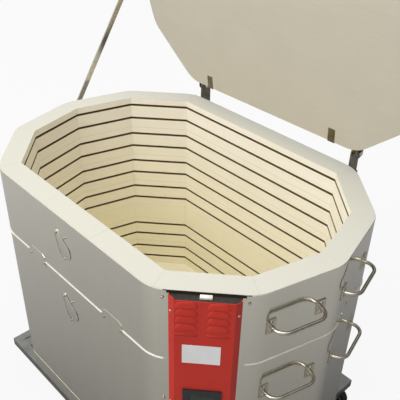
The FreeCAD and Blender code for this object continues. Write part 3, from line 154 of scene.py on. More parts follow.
def rangeOf(tree, value, low, high, toLow, toHigh):
    made = tree.nodes.new("ShaderNodeMapRange")
    tree.links.new(value, made.inputs["Value"])
    for label, number in (("From Min", low), ("From Max", high), ("To Min", toLow), ("To Max", toHigh)):
        made.inputs[label].default_value = number
    return made.outputs["Result"]


def sumOf(tree, operation, *values):
    made = tree.nodes.new("ShaderNodeMath")
    made.operation = operation
    for socket, value in zip(made.inputs, values):
        plug(tree, socket, value)
    return made.outputs[0]


def makeGrainGroup():
    # cloudy tone, sawn streaks along the course and fine pores, for brick
    tree, given, out = newGroup("brickGrain", [
        ("Vector", "NodeSocketVector", None), ("Light", "NodeSocketColor", (1, 1, 1, 1)),
        ("Dark", "NodeSocketColor", (0.7, 0.7, 0.7, 1)), ("Pores", "NodeSocketFloat", 0.5)],
        [("Color", "NodeSocketColor"), ("Height", "NodeSocketFloat")])
    stretch = addNode(tree, "ShaderNodeMapping")
    stretch.inputs["Scale"].default_value = (4, 4, 110)
    tree.links.new(given.outputs["Vector"], stretch.inputs["Vector"])
    cloud = addNode(tree, "ShaderNodeTexNoise", Scale=7.0, Detail=5.0, Roughness=0.6)
    streak = addNode(tree, "ShaderNodeTexNoise", Scale=2.0, Detail=4.0, Roughness=0.6)
    fine = addNode(tree, "ShaderNodeTexNoise", Scale=420.0, Detail=3.0, Roughness=0.7)
    pore = addNode(tree, "ShaderNodeTexVoronoi", Scale=240.0)
    for texture in (cloud, fine, pore):
        tree.links.new(given.outputs["Vector"], texture.inputs["Vector"])
    tree.links.new(stretch.outputs[0], streak.inputs["Vector"])
    poreMask = rangeOf(tree, pore.outputs["Distance"], 0.0, 0.3, 1.0, 0.0)
    poreSparse = rangeOf(tree, fine.outputs["Fac"], 0.52, 0.66, 0.0, 1.0)
    pitted = sumOf(tree, "MULTIPLY", sumOf(tree, "MULTIPLY", poreMask, poreSparse), given.outputs["Pores"])
    clouds = sumOf(tree, "MULTIPLY", rangeOf(tree, cloud.outputs["Fac"], 0.3, 0.7, 0.0, 1.0), 0.5)
    streaks = sumOf(tree, "MULTIPLY", rangeOf(tree, streak.outputs["Fac"], 0.3, 0.7, 0.0, 1.0), 0.5)
    base = mixColour(tree, sumOf(tree, "ADD", clouds, streaks), given.outputs["Dark"], given.outputs["Light"])
    tree.links.new(mixColour(tree, pitted, base, (0.4, 0.35, 0.26, 1)), out.inputs["Color"])
    tree.links.new(sumOf(tree, "SUBTRACT", fine.outputs["Fac"], pitted), out.inputs["Height"])
    return tree


# grooves by their middle above a course's bottom; the joint is a share of a course
grooveSet = {"lower": 37.5, "upper": 88.7, "half": 4.1, "joint": (0.004, 0.009)}


def makeCourseGroup():
    # painted shade in the element grooves, and fine bed joints, by the level within a course
    tree, given, out = newGroup("grooveShadeAndJoints", [
        ("Vector", "NodeSocketVector", None), ("Level", "NodeSocketFloat", 0.0)],
        [("Groove", "NodeSocketFloat"), ("Joint", "NodeSocketFloat")])
    split = tree.nodes.new("ShaderNodeSeparateXYZ")
    tree.links.new(given.outputs["Vector"], split.inputs[0])
    rise = sumOf(tree, "SUBTRACT", split.outputs["Z"], given.outputs["Level"])
    share = sumOf(tree, "FRACT", sumOf(tree, "DIVIDE", rise, levels["course"]))
    half = grooveSet["half"] / courseHeight
    lower = sumOf(tree, "COMPARE", share, grooveSet["lower"] / courseHeight, half)
    upper = sumOf(tree, "COMPARE", share, grooveSet["upper"] / courseHeight, half)
    tree.links.new(sumOf(tree, "MAXIMUM", lower, upper), out.inputs["Groove"])
    shifted = sumOf(tree, "FRACT", sumOf(tree, "ADD", share, 0.5))
    edge = sumOf(tree, "ABSOLUTE", sumOf(tree, "SUBTRACT", shifted, 0.5))
    tree.links.new(rangeOf(tree, edge, *grooveSet["joint"], 1.0, 0.0), out.inputs["Joint"])
    return tree


def makeSheetGroup():
    # rolled sheet: long fine streaks and soft smears
    tree, given, out = newGroup("rolledSheet", [
        ("Vector", "NodeSocketVector", None), ("Color", "NodeSocketColor", (0.5, 0.5, 0.5, 1)),
        ("Streak", "NodeSocketFloat", 0.15), ("Low", "NodeSocketFloat", 0.2), ("High", "NodeSocketFloat", 0.4)],
        [("Color", "NodeSocketColor"), ("Roughness", "NodeSocketFloat"), ("Height", "NodeSocketFloat")])
    stretch = addNode(tree, "ShaderNodeMapping")
    stretch.inputs["Scale"].default_value = (60, 60, 1)
    tree.links.new(given.outputs["Vector"], stretch.inputs["Vector"])
    lines = addNode(tree, "ShaderNodeTexNoise", Scale=1.0, Detail=3.0, Roughness=0.5)
    tree.links.new(stretch.outputs[0], lines.inputs["Vector"])
    smear = addNode(tree, "ShaderNodeTexNoise", Scale=3.0, Detail=4.0, Roughness=0.6)
    tree.links.new(given.outputs["Vector"], smear.inputs["Vector"])
    darker = mixColour(tree, given.outputs["Streak"], given.outputs["Color"], (0.05, 0.05, 0.045, 1))
    lineMask = rangeOf(tree, lines.outputs["Fac"], 0.3, 0.7, 0.0, 1.0)
    tree.links.new(mixColour(tree, lineMask, darker, given.outputs["Color"]), out.inputs["Color"])
    smearMask = rangeOf(tree, smear.outputs["Fac"], 0.35, 0.65, 0.0, 1.0)
    rough = addNode(tree, "ShaderNodeMix")
    tree.links.new(smearMask, rough.inputs[0])
    tree.links.new(given.outputs["Low"], rough.inputs[2])
    tree.links.new(given.outputs["High"], rough.inputs[3])
    tree.links.new(rough.outputs[0], out.inputs["Roughness"])
    tree.links.new(smear.outputs["Fac"], out.inputs["Height"])
    return tree


def makeMottleGroup():
    # even tone with a soft mottle, for plastics, paint and rubber
    tree, given, out = newGroup("softMottle", [
        ("Vector", "NodeSocketVector", None), ("Color", "NodeSocketColor", (0.5, 0.5, 0.5, 1)),
        ("Worn", "NodeSocketColor", (0.6, 0.6, 0.6, 1)), ("Scale", "NodeSocketFloat", 60.0)],
        [("Color", "NodeSocketColor"), ("Height", "NodeSocketFloat")])
    coarse = addNode(tree, "ShaderNodeTexNoise", Detail=4.0, Roughness=0.55)
    grain = addNode(tree, "ShaderNodeTexNoise", Scale=900.0, Detail=2.0)
    tree.links.new(given.outputs["Scale"], coarse.inputs["Scale"])
    for texture in (coarse, grain):
        tree.links.new(given.outputs["Vector"], texture.inputs["Vector"])
    mask = rangeOf(tree, coarse.outputs["Fac"], 0.4, 0.7, 0.0, 1.0)
    tree.links.new(mixColour(tree, mask, given.outputs["Color"], given.outputs["Worn"]), out.inputs["Color"])
    tree.links.new(grain.outputs["Fac"], out.inputs["Height"])
    return tree


groups = {"grain": makeGrainGroup(), "course": makeCourseGroup(), "sheet": makeSheetGroup(),
          "mottle": makeMottleGroup()}


def useGroup(tree, group, **values):
    made = tree.nodes.new("ShaderNodeGroup")
    made.node_tree = group
    place = tree.nodes.new("ShaderNodeTexCoord")
    tree.links.new(place.outputs["Object"], made.inputs["Vector"])
    for key, value in values.items():
        made.inputs[key].default_value = value
    return made


def addBump(tree, shader, height, strength, distance):
    bump = addNode(tree, "ShaderNodeBump", Strength=strength, Distance=distance)
    tree.links.new(height, bump.inputs["Height"])
    tree.links.new(bump.outputs["Normal"], shader.inputs["Normal"])


# the darkest brick colour here and the two sizes that place it are painted shade, for the gap behind the box's
# throat
brickSet = {"rim": tone(207, 205, 193), "light": tone(250, 245, 233), "dark": tone(244, 237, 220),
            "deepLight": tone(252, 246, 222), "deepDark": tone(247, 239, 210),
            "groove": tone(126, 104, 62), "joint": tone(196, 184, 152), "paintedShade": tone(44, 40, 34),
            "coat": 0.4, "shadeOut": 63.2, "shadeDrop": 1.2, "jointShare": 0.45, "yellowCourses": 2.2, "shine": 0.15}


def objectPlace(tree):
    # object coordinates, and their height on its own
    place = tree.nodes.new("ShaderNodeTexCoord").outputs["Object"]
    split = tree.nodes.new("ShaderNodeSeparateXYZ")
    tree.links.new(place, split.inputs[0])
    return place, split.outputs["Z"]


def brickMaterial(name, light, dark, level=None, rim=None, pores=0.3, deep=None):
    material, tree, shader = newMaterial(name, 0.0, 0.95)
    grain = useGroup(tree, groups["grain"], Light=light, Dark=dark, Pores=pores)
    colour = grain.outputs["Color"]
    if deep:  # the brick grows yellower with depth
        place, height = objectPlace(tree)
        lower = useGroup(tree, groups["grain"], Light=deep[0], Dark=deep[1], Pores=pores)
        depth = rangeOf(tree, height, brickSet["yellowCourses"] * levels["course"], levels["rim"], 1.0, 0.0)
        colour = mixColour(tree, depth, colour, lower.outputs["Color"])
    if level is not None:
        marks = useGroup(tree, groups["course"], Level=level)
        faint = sumOf(tree, "MULTIPLY", marks.outputs["Joint"], brickSet["jointShare"])
        colour = mixColour(tree, faint, colour, brickSet["joint"])
        # painted shade: the element grooves are darkened for the shade that falls in them
        colour = mixColour(tree, marks.outputs["Groove"], colour, brickSet["groove"])
    if rim:  # the top face has a coat of cement, and the outer face behind the box's throat is painted dark as the shade in that gap
        place, height = objectPlace(tree)
        top = sumOf(tree, "GREATER_THAN", height, levels["rim"] - brickSet["coat"] * mm)
        colour = mixColour(tree, top, colour, rim)
        wallTurn = math.radians(plan["turnWall"])
        # painted shade: the brick's outer face behind the throat, below the rim, takes a near-black colour for the
        # shadow there
        out = addNode(tree, "ShaderNodeVectorMath", operation="DOT_PRODUCT")
        tree.links.new(place, out.inputs[0])
        out.inputs[1].default_value = (math.sin(wallTurn), -math.cos(wallTurn), 0)
        x, y = planCorners(0)[0]
        depth = x * math.sin(wallTurn) - y * math.cos(wallTurn) + brickSet["shadeOut"] * mm
        behind = sumOf(tree, "GREATER_THAN", out.outputs["Value"], depth)
        below = sumOf(tree, "LESS_THAN", height, levels["rim"] - brickSet["shadeDrop"] * mm)
        colour = mixColour(tree, sumOf(tree, "MULTIPLY", behind, below), colour, brickSet["paintedShade"])
    tree.links.new(colour, shader.inputs["Base Color"])
    shader.inputs["Specular IOR Level"].default_value = brickSet["shine"]
    addBump(tree, shader, grain.outputs["Height"], 0.2, 0.0005)
    return material


def sheetMaterial(name, colour, streak=0.03, low=0.08, high=0.14, bump=0.002):
    material, tree, shader = newMaterial(name, 1.0)
    sheet = useGroup(tree, groups["sheet"], Color=colour, Streak=streak, Low=low, High=high)
    tree.links.new(sheet.outputs["Color"], shader.inputs["Base Color"])
    tree.links.new(sheet.outputs["Roughness"], shader.inputs["Roughness"])
    addBump(tree, shader, sheet.outputs["Height"], bump, 0.002)
    return material


def plainMaterial(name, colour, worn, roughness=0.5, metallic=0.0, coat=0.0, scale=60.0, bump=0.06):
    material, tree, shader = newMaterial(name, metallic, roughness)
    mottle = useGroup(tree, groups["mottle"], Color=colour, Worn=worn, Scale=scale)
    tree.links.new(mottle.outputs["Color"], shader.inputs["Base Color"])
    shader.inputs["Coat Weight"].default_value = coat
    addBump(tree, shader, mottle.outputs["Height"], bump, 0.0003)
    return material


finishes = {
    "topCourse": brickMaterial("topCourseBrick", brickSet["light"], brickSet["dark"], levels["rim"],
                               brickSet["rim"], deep=(brickSet["deepLight"], brickSet["deepDark"])),
    "upperBrick": brickMaterial("upperBrick", brickSet["light"], brickSet["dark"], levels["rim"],
                                deep=(brickSet["deepLight"], brickSet["deepDark"])),
    "deepBrick": brickMaterial("deepBrick", brickSet["deepLight"], brickSet["deepDark"], 0.0),
    "flatBrick": brickMaterial("flatBrick", brickSet["deepLight"], brickSet["deepDark"]),
    "lidBrick": brickMaterial("lidBrick", tone(200, 194, 178), tone(192, 186, 169), pores=0.1),
    "jacket": sheetMaterial("jacketSheet", tone(226, 222, 209)),
    "band": sheetMaterial("bandSheet", tone(200, 195, 182)),
    "bright": plainMaterial("rolledEdge", tone(244, 242, 234), tone(236, 233, 223), 0.35, 0.2, scale=60.0),
    # painted shade: a near-black sheet finish that stands in for the shadow in the box's throat
    "paintedShade": plainMaterial("shadeSheet", tone(46, 43, 38), tone(62, 58, 50), 0.6, 0.3, scale=120.0),
    "plated": plainMaterial("platedSteel", tone(206, 200, 186), tone(186, 179, 163), 0.14, 1.0, scale=90.0,
                            bump=0.01),
    "stand": plainMaterial("standSteel", tone(150, 150, 146), tone(132, 132, 128), 0.3, 1.0, scale=30.0),
    "post": plainMaterial("postSteel", tone(128, 123, 108), tone(104, 99, 86), 0.32, 1.0, scale=50.0),
    "strap": plainMaterial("strapSteel", tone(138, 133, 116), tone(120, 115, 98), 0.3, 1.0, scale=50.0),
    "wire": plainMaterial("elementWire", tone(160, 138, 92), tone(122, 100, 62), 0.6, scale=160.0),
    "porcelain": plainMaterial("porcelain", tone(236, 233, 226), tone(214, 208, 196), 0.45, coat=0.2),
    "rubber": plainMaterial("wheelRubber", tone(30, 30, 30), tone(46, 45, 43), 0.7, scale=40.0, bump=0.1),
    "hub": plainMaterial("hubPlastic", tone(120, 120, 118), tone(134, 134, 131), 0.45, scale=40.0),
    "knob": plainMaterial("knobPlastic", tone(28, 28, 28), tone(40, 40, 40), 0.42, bump=0.08),
    "red": plainMaterial("redPaint", tone(200, 42, 22), tone(193, 38, 20), 0.5, scale=20.0, bump=0.05),
    "label": plainMaterial("labelPlate", tone(238, 238, 236), tone(230, 230, 227), 0.4, scale=24.0),
    "panel": plainMaterial("panelPlastic", tone(34, 34, 36), tone(42, 42, 44), 0.4, scale=80.0, bump=0.08),
    "screen": plainMaterial("screenGlass", tone(18, 24, 20), tone(22, 30, 25), 0.12, coat=0.6, scale=10.0,
                            bump=0.0),
    "key": plainMaterial("keyPlastic", tone(200, 200, 196), tone(188, 188, 184), 0.45),
    "relay": plainMaterial("relayPlastic", tone(40, 40, 42), tone(52, 52, 54), 0.5),
}


def dress(finish, *names):
    for name in names:
        for slot in nodes[name].material_slots:
            slot.material = finishes[finish]


corners = ["front_left", "front_right", "rear_left", "rear_right"]
dress("topCourse", "course_1")
dress("upperBrick", "course_2", "course_3", "course_4")
dress("deepBrick", "course_5", "course_6")
dress("flatBrick", "course_plain", "floor_slab")
dress("lidBrick", "lid_slab")
dress("jacket", "upper_jacket", "lower_jacket", "floor_pan", "peep_cover_upper", "peep_cover_lower", "seam_tabs",
      "box_back")
dress("band", "lid_band")
dress("strap", "lid_straps")
dress("post", "hinge_posts", "lid_ears", "stay_lid_bracket", "stay_body_bracket")
dress("plated", "handles_left", "handles_right", "lid_handle", "case_screws", "hinge_pins",
      "stay_bar", "stay_guide")
dress("stand", "stand_frame", "caster_plates", *["caster_fork_" + c for c in corners])
dress("rubber", *["caster_wheel_" + c for c in corners])
dress("knob", "stay_knob", "cable_gland")
dress("red", "box_cover")
dress("label", "label_plate")
dress("panel", "controller", "switch_housing", "power_rocker")
dress("key", "key_1", "key_2", "key_3")
dress("relay", "relays", "terminal_block")
dress("porcelain", "lead_tubes", "thermocouple")
dress("wire", *["element_%d" % n for n in range(1, 7)])
print("CAD nodes dressed")


inner = planCorners(0)
wallFaces = {"front": ((0, inner[0][1]), 0), "rightFront": (inner[0], 42), "rightTip": (inner[2], 75),
             "rearTip": (inner[2], 105), "leftTip": (inner[7], 285), "leftRearTip": (inner[7], 255),
             "rear": ((0, inner[4][1]), 180)}


def onFace(face, along, out, level, lean=0):
    # a frame on a wall face: x along it, y into the wall, z up
    (x, y), turn = wallFaces[face]
    base = Matrix.Translation((x, y, 0)) @ turnZ(turn)
    return base @ Matrix.Translation((along * mm, -out * mm, level)) @ turnZ(lean)


def onLid(x, y, z):
    # a frame on the open lid, from its place when shut and measured from the hinge
    hinge = Matrix.Translation((0, hingeY, levels["hinge"]))
    turn = Matrix.Rotation(math.radians(-lidOpen), 4, "X")
    return hinge @ turn @ Matrix.Translation((x * mm, y * mm, z * mm))


def finishPiece(piece, name, finish, body, angle=35):
    # one object at the origin, dressed and riding on its body
    piece.name = name
    piece.data.materials.clear()
    piece.data.materials.append(finishes[finish])
    clearSelection()
    piece.select_set(True)
    bpy.context.view_layer.objects.active = piece
    bpy.ops.object.transform_apply(location=True, rotation=True, scale=True)
    bpy.ops.object.mode_set(mode="EDIT")
    bpy.ops.mesh.select_all(action="SELECT")
    bpy.ops.mesh.normals_make_consistent(inside=False)
    bpy.ops.object.mode_set(mode="OBJECT")
    bpy.ops.object.shade_smooth_by_angle(angle=math.radians(angle))
    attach(piece, body)
    return piece


def copiesOf(model, places):
    # one joined object from a model and the frames of its copies
    made = []
    for place in places:
        copy = model.copy()
        copy.data = model.data.copy()
        bpy.context.collection.objects.link(copy)
        copy.data.transform(place)
        made.append(copy)
    bpy.data.objects.remove(model)
    clearSelection()
    for copy in made:
        copy.select_set(True)
    bpy.context.view_layer.objects.active = made[0]
    if len(made) > 1:
        bpy.ops.object.join()
    return bpy.context.view_layer.objects.active


def cutAway(normal, fill):
    # everything past the origin on the normal's side
    bpy.ops.mesh.select_all(action="SELECT")
    bpy.ops.mesh.bisect(plane_co=(0, 0, 0), plane_no=normal, clear_outer=True, use_fill=fill)


def thicken(piece, sheet, offset=-1):
    thick = piece.modifiers.new("sheet", "SOLIDIFY")
    thick.thickness = sheet * mm
    thick.offset = offset
    bpy.ops.object.modifier_apply(modifier="sheet")


def softBlock(size, edge, segments=1):
    # a block at the origin with its edges taken off
    clearSelection()
    bpy.ops.mesh.primitive_cube_add(size=1, location=(0, 0, 0))
    block = bpy.context.object
    block.scale = [value * mm for value in size]
    bpy.ops.object.transform_apply(location=False, rotation=False, scale=True)
    soften(block, edge, segments)
    return block


def soften(piece, edge, segments=1):
    bpy.ops.object.modifier_add(type="BEVEL")
    piece.modifiers[0].width = edge * mm
    piece.modifiers[0].segments = segments
    bpy.ops.object.modifier_apply(modifier=piece.modifiers[0].name)


def roundRod(name, runs, radius, rounding):
    # a curve object with a round section along runs of points
    data = bpy.data.curves.new(name, "CURVE")
    data.dimensions = "3D"
    data.bevel_depth = radius
    data.bevel_resolution = rounding
    data.use_fill_caps = True
    for run in runs:
        spline = data.splines.new("POLY")
        spline.points.add(len(run) - 1)
        for point, place in zip(spline.points, run):
            point.co = (*place, 1)
    rod = bpy.data.objects.new(name, data)
    bpy.context.collection.objects.link(rod)
    return rod


# wound wire in the grooves, run round the plan
coilSet = {"radius": 3.0 * mm, "wire": 0.8 * mm, "pitch": 8.5 * mm, "steps": 8, "offset": 10.4 * mm,
           "start": 108 * mm, "gap": 16 * mm, "drops": (25.6 * mm, 76.8 * mm)}


def coilPoints(level, made):
    ring = [Vector((x, y, level)) for x, y in planCorners(made["offset"])]
    ring = ring + [ring[0]]
    stretches = []
    for index in range(10):
        start, end = ring[index], ring[index + 1]
        if index == 0:
            start = start + (end - start).normalized() * made["start"]
        stretches.append((start, end))
    first = (ring[1] - ring[0]).normalized()
    stretches.append((ring[0], ring[0] + first * (made["start"] - made["gap"])))
    points = []
    travelled = 0.0
    for start, end in stretches:
        along = (end - start).normalized()
        across = along.cross(Vector((0, 0, 1)))
        length = (end - start).length
        count = int(length / made["pitch"] * made["steps"])
        for step in range(count):
            done = length * step / count
            angle = 2 * math.pi * (travelled + done) / made["pitch"]
            swing = across * math.cos(angle) + Vector((0, 0, math.sin(angle)))
            points.append(start + along * done + swing * made["radius"])
        travelled += length
    return points


def makeElement(number, courseTop):
    turns = []
    for turn, drop in enumerate(coilSet["drops"]):
        points = coilPoints(courseTop - drop, coilSet)
        turns.append(roundRod("elementCoil%d_%d" % (number, turn), [points], coilSet["wire"], 0))
    clearSelection()
    for coil in turns:
        coil.select_set(True)
    bpy.context.view_layer.objects.active = turns[0]
    bpy.ops.object.convert(target="MESH")
    bpy.ops.object.join()
    coil = finishPiece(bpy.context.object, "elementCoil%d" % number, "wire", "kiln", 60)
    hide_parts("element_%d" % number)


tops = [levels["rim"] - row * levels["course"] for row in (0, 1, 2, 3)]
tops += [2 * levels["course"], levels["course"]]
for number, top in enumerate(tops, 1):
    makeElement(number, top)
print("elements wound")


# pressed hoods over the cover's slots
hoodSet = {"width": 52, "height": 17, "depth": 3.4, "sheet": 0.8, "square": 0.55, "columns": (58, 131.5),
           "rows": [28 + 22.5 * row for row in range(4)] + [516 + 23.6 * row for row in range(6)],
           "flat": (54, 0.6, 8), "flatDrop": 42 + 23.6 * 3, "flatOut": 0.2, "flatEdge": 0.2}


def makeHoods(made):
    clearSelection()
    bpy.ops.mesh.primitive_uv_sphere_add(segments=24, ring_count=16, radius=1, location=(0, 0, 0))
    hood = bpy.context.object
    hood.scale = (made["width"] / 2 * mm, made["depth"] * mm, made["height"] * mm)
    bpy.ops.object.transform_apply(location=False, rotation=False, scale=True)
    bpy.ops.object.mode_set(mode="EDIT")
    for normal in ((0, 1, 0), (0, 0, -1)):
        cutAway(normal, False)
    bpy.ops.object.mode_set(mode="OBJECT")
    half = made["width"] / 2 * mm
    for vert in hood.data.vertices:  # squarer towards its ends
        share = min(abs(vert.co.x) / half, 1)
        vert.co.x = math.copysign(half * share ** made["square"], vert.co.x)
    thicken(hood, made["sheet"])
    places = [onFace("rightFront", column, boxFront, levels["rim"] - row * mm)
              for column in made["columns"] for row in made["rows"]]
    flat = softBlock(made["flat"], made["flatEdge"])
    flatPlaces = [onFace("rightFront", column, boxFront + made["flatOut"], levels["rim"] - made["flatDrop"] * mm)
                  for column in made["columns"]]
    closed = copiesOf(flat, flatPlaces)
    hoods = copiesOf(hood, places)
    closed.select_set(True)
    bpy.ops.object.join()
    hoods = finishPiece(hoods, "louvreHoods", "red", "kiln", 50)


makeHoods(hoodSet)


# folded hem on the cover's top edge
hemSet = {"first": 16, "last": 183, "fold": 14, "wall": 77, "low": 9.5, "high": 2.2, "sheet": 1.2}


def makeHem(made):
    bends = [(made["first"], made["wall"]), (made["first"] + made["fold"], boxFront),
             (made["last"] - made["fold"], boxFront), (made["last"], made["wall"])]
    clearSelection()
    bpy.ops.mesh.primitive_plane_add(size=2 * mm, location=(0, 0, 0))
    hem = bpy.context.object
    bpy.ops.object.mode_set(mode="EDIT")
    shape = bmesh.from_edit_mesh(hem.data)
    shape.verts.ensure_lookup_table()
    ends = [shape.verts[0], shape.verts[1]]
    bmesh.ops.delete(shape, geom=[shape.verts[2], shape.verts[3]], context="VERTS")
    for vert, level in zip(ends, (made["low"], made["high"])):
        vert.co = (bends[0][0] * mm, -bends[0][1] * mm, -level * mm)
    bmesh.update_edit_mesh(hem.data)
    for before, after in zip(bends, bends[1:]):
        step = ((after[0] - before[0]) * mm, (before[1] - after[1]) * mm, 0)
        bpy.ops.mesh.select_all(action="DESELECT")
        shape = bmesh.from_edit_mesh(hem.data)
        for edge in shape.edges:
            edge.select = all(abs(vert.co.x - before[0] * mm) < 0.01 * mm for vert in edge.verts)
        shape.select_flush(True)
        bmesh.update_edit_mesh(hem.data)
        bpy.ops.mesh.extrude_region_move(TRANSFORM_OT_translate={"value": step})
    bpy.ops.object.mode_set(mode="OBJECT")
    thicken(hem, made["sheet"], 0)
    hem.data.transform(onFace("rightFront", 0, 0, levels["rim"]))
    finishPiece(hem, "coverHem", "red", "kiln")


makeHem(hemSet)


# bright rolled edge along the seam between the jacket's two sections, but not under the tabs and the box
seamSet = {"level": 525.5 * mm, "offset": 65.3 * mm, "bend": 100 * mm, "radius": 2.3 * mm, "step": 3 * mm,
           "near": 3 * mm, "covered": (("front", -220, -136), ("front", 145, 229), ("rear", -220, -136),
                                      ("rear", 145, 229), ("rearTip", 25, 149), ("leftRearTip", -149, -25),
                                      ("rightFront", 5, 194))}
bendSteps = 6  # points round each bend of the jacket


def outlineRun(offset, bend, step):
    # points round the jacket, with its bends
    corners = [Vector((x, y, 0)) for x, y in planCorners(offset)]
    points = []
    for index, corner in enumerate(corners):
        before = (corner - corners[index - 1]).normalized()
        after = (corners[(index + 1) % len(corners)] - corner).normalized()
        half = before.angle(after) / 2
        reach = bend * math.tan(half)
        centre = corner - before * reach + Vector((-before.y, before.x, 0)) * bend
        first = corner - before * reach
        if points:
            last = points[-1]
            count = int((first - last).length / step)
            points += [last + (first - last) * (n + 1) / (count + 1) for n in range(count)]
        for turn in range(bendSteps + 1):
            swing = Matrix.Rotation(2 * half * turn / bendSteps, 3, "Z") @ (first - centre)
            points.append(centre + swing)
    count = int((points[0] - points[-1]).length / step)
    last = points[-1]
    points += [last + (points[0] - last) * (n + 1) / (count + 1) for n in range(count)]
    return points + [points[0]]


def makeSeam(made):
    masks = [(onFace(face, 0, skin, 0).inverted(), first * mm, last * mm) for face, first, last in made["covered"]]
    runs = [[]]
    for point in outlineRun(made["offset"], made["bend"], made["step"]):
        hidden = False
        for toFace, first, last in masks:
            local = toFace @ point
            hidden = hidden or (abs(local.y) < made["near"] and first < local.x < last)
        if hidden and runs[-1]:
            runs.append([])
        if not hidden:
            runs[-1].append((point.x, point.y, made["level"]))
    seam = roundRod("seamRun", [run for run in runs if len(run) > 1], made["radius"], 1)
    clearSelection()
    seam.select_set(True)
    bpy.context.view_layer.objects.active = seam
    bpy.ops.object.convert(target="MESH")
    beads = finishPiece(bpy.context.object, "seamEdges", "bright", "kiln")


makeSeam(seamSet)


# a near-black sheet under the throat, put in as painted shade for the gap there, and the porcelain block that the
# leads pass
shadeSheetSet = {"first": 18.5, "last": 180.5, "fold": 12, "back": 66.3, "wall": 76, "front": 86.6, "drop": 10.5,
             "sheet": 0.8}
blockSet = {"middle": 101, "size": (29, 11, 7), "out": 74, "drop": 6.6, "round": 1.5}


# painted shade: the dark sheet that fills the throat's gap
def makeShadeSheet(made):
    clearSelection()
    bpy.ops.mesh.primitive_circle_add(vertices=6, radius=10 * mm, fill_type="NGON", location=(0, 0, 0))
    shadePiece = bpy.context.object
    outline = [(made["first"], made["back"]), (made["last"], made["back"]), (made["last"], made["wall"]),
               (made["last"] - made["fold"], made["front"]), (made["first"] + made["fold"], made["front"]),
               (made["first"], made["wall"])]
    for vert, (along, out) in zip(shadePiece.data.vertices, outline):
        vert.co = (along * mm, -out * mm, -made["drop"] * mm)
    thicken(shadePiece, made["sheet"])
    shadePiece.data.transform(onFace("rightFront", 0, 0, levels["rim"]))
    finishPiece(shadePiece, "throatShadeSheet", "paintedShade", "kiln")


def makeBlock(made):
    block = softBlock(made["size"], made["round"], 3)
    block.data.transform(onFace("rightFront", made["middle"], made["out"], levels["rim"] - made["drop"] * mm))
    finishPiece(block, "leadBlock", "porcelain", "kiln")


makeShadeSheet(shadeSheetSet)
makeBlock(blockSet)


# pan-head screws with a cross recess, on the handles' feet and on the box cover's slopes
screwSet = {"radius": 4, "height": 2.2, "slot": 1.1, "reach": 2.6, "deep": 1.2}
footSet = {"side": 72, "rise": 14, "out": 68, "lidReach": 815.6435,
           "rows": (("rightTip", "rearTip", -110, 87, 108), ("leftTip", "leftRearTip", 119, -119, 140))}
slopeSet = {"drops": (49, 360, 690), "places": ((20.6, 80.9, -37.5), (177.2, 81.8, 37.5))}


def screwModel(made):
    clearSelection()
    bpy.ops.mesh.primitive_uv_sphere_add(segments=14, ring_count=8, radius=1, location=(0, 0, 0))
    head = bpy.context.object
    head.scale = (made["radius"] * mm, made["height"] * mm, made["radius"] * mm)
    bpy.ops.object.transform_apply(location=False, rotation=False, scale=True)
    bpy.ops.object.mode_set(mode="EDIT")
    cutAway((0, 1, 0), True)
    bpy.ops.object.mode_set(mode="OBJECT")
    for size in ((made["reach"] * 2, made["slot"]), (made["slot"], made["reach"] * 2)):
        clearSelection()
        bpy.ops.mesh.primitive_cube_add(size=1, location=(0, -made["height"] * mm, 0))
        bar = bpy.context.object
        bar.scale = (size[0] * mm, made["deep"] * 2 * mm, size[1] * mm)
        bpy.ops.object.transform_apply(location=True, rotation=False, scale=True)
        clearSelection()
        head.select_set(True)
        bpy.context.view_layer.objects.active = head
        carve = head.modifiers.new("recess", "BOOLEAN")
        carve.operation = "DIFFERENCE"
        carve.object = bar
        bpy.ops.object.modifier_apply(modifier="recess")
        bpy.data.objects.remove(bar)
    return head


footOffsets = [(side * footSet["side"], rise * footSet["rise"]) for side in (-1, 1) for rise in (-1, 1)]


def footScrews(face, along, level):
    return [onFace(face, along + side, footSet["out"], (level + rise) * mm) for side, rise in footOffsets]


kilnScrews = []
for tip, rear, alongTip, alongRear, drop in footSet["rows"]:
    for level in (rimHeight - drop, rimHeight - drop - section):
        kilnScrews += footScrews(tip, alongTip, level) + footScrews(rear, alongRear, level)
for drop in slopeSet["drops"]:
    for along, out, lean in slopeSet["places"]:
        kilnScrews.append(onFace("rightFront", along, out, levels["rim"] - drop * mm, lean))
screws = finishPiece(copiesOf(screwModel(screwSet), kilnScrews), "wallScrews", "plated", "kiln")
lidPlaces = [onLid(side, -footSet["lidReach"], rise) for side, rise in footOffsets]
lidScrews = finishPiece(copiesOf(screwModel(screwSet), lidPlaces), "lidHandleScrews", "plated", "lid")
print("screws set")


# teardrop covers over the peepholes
coverSet = {"pivot": (-46, 65), "disc": (31, 47), "eyeRadius": 11, "discRadius": 29, "gap": 0.6, "sheet": 1.4,
            "edge": 0.5}


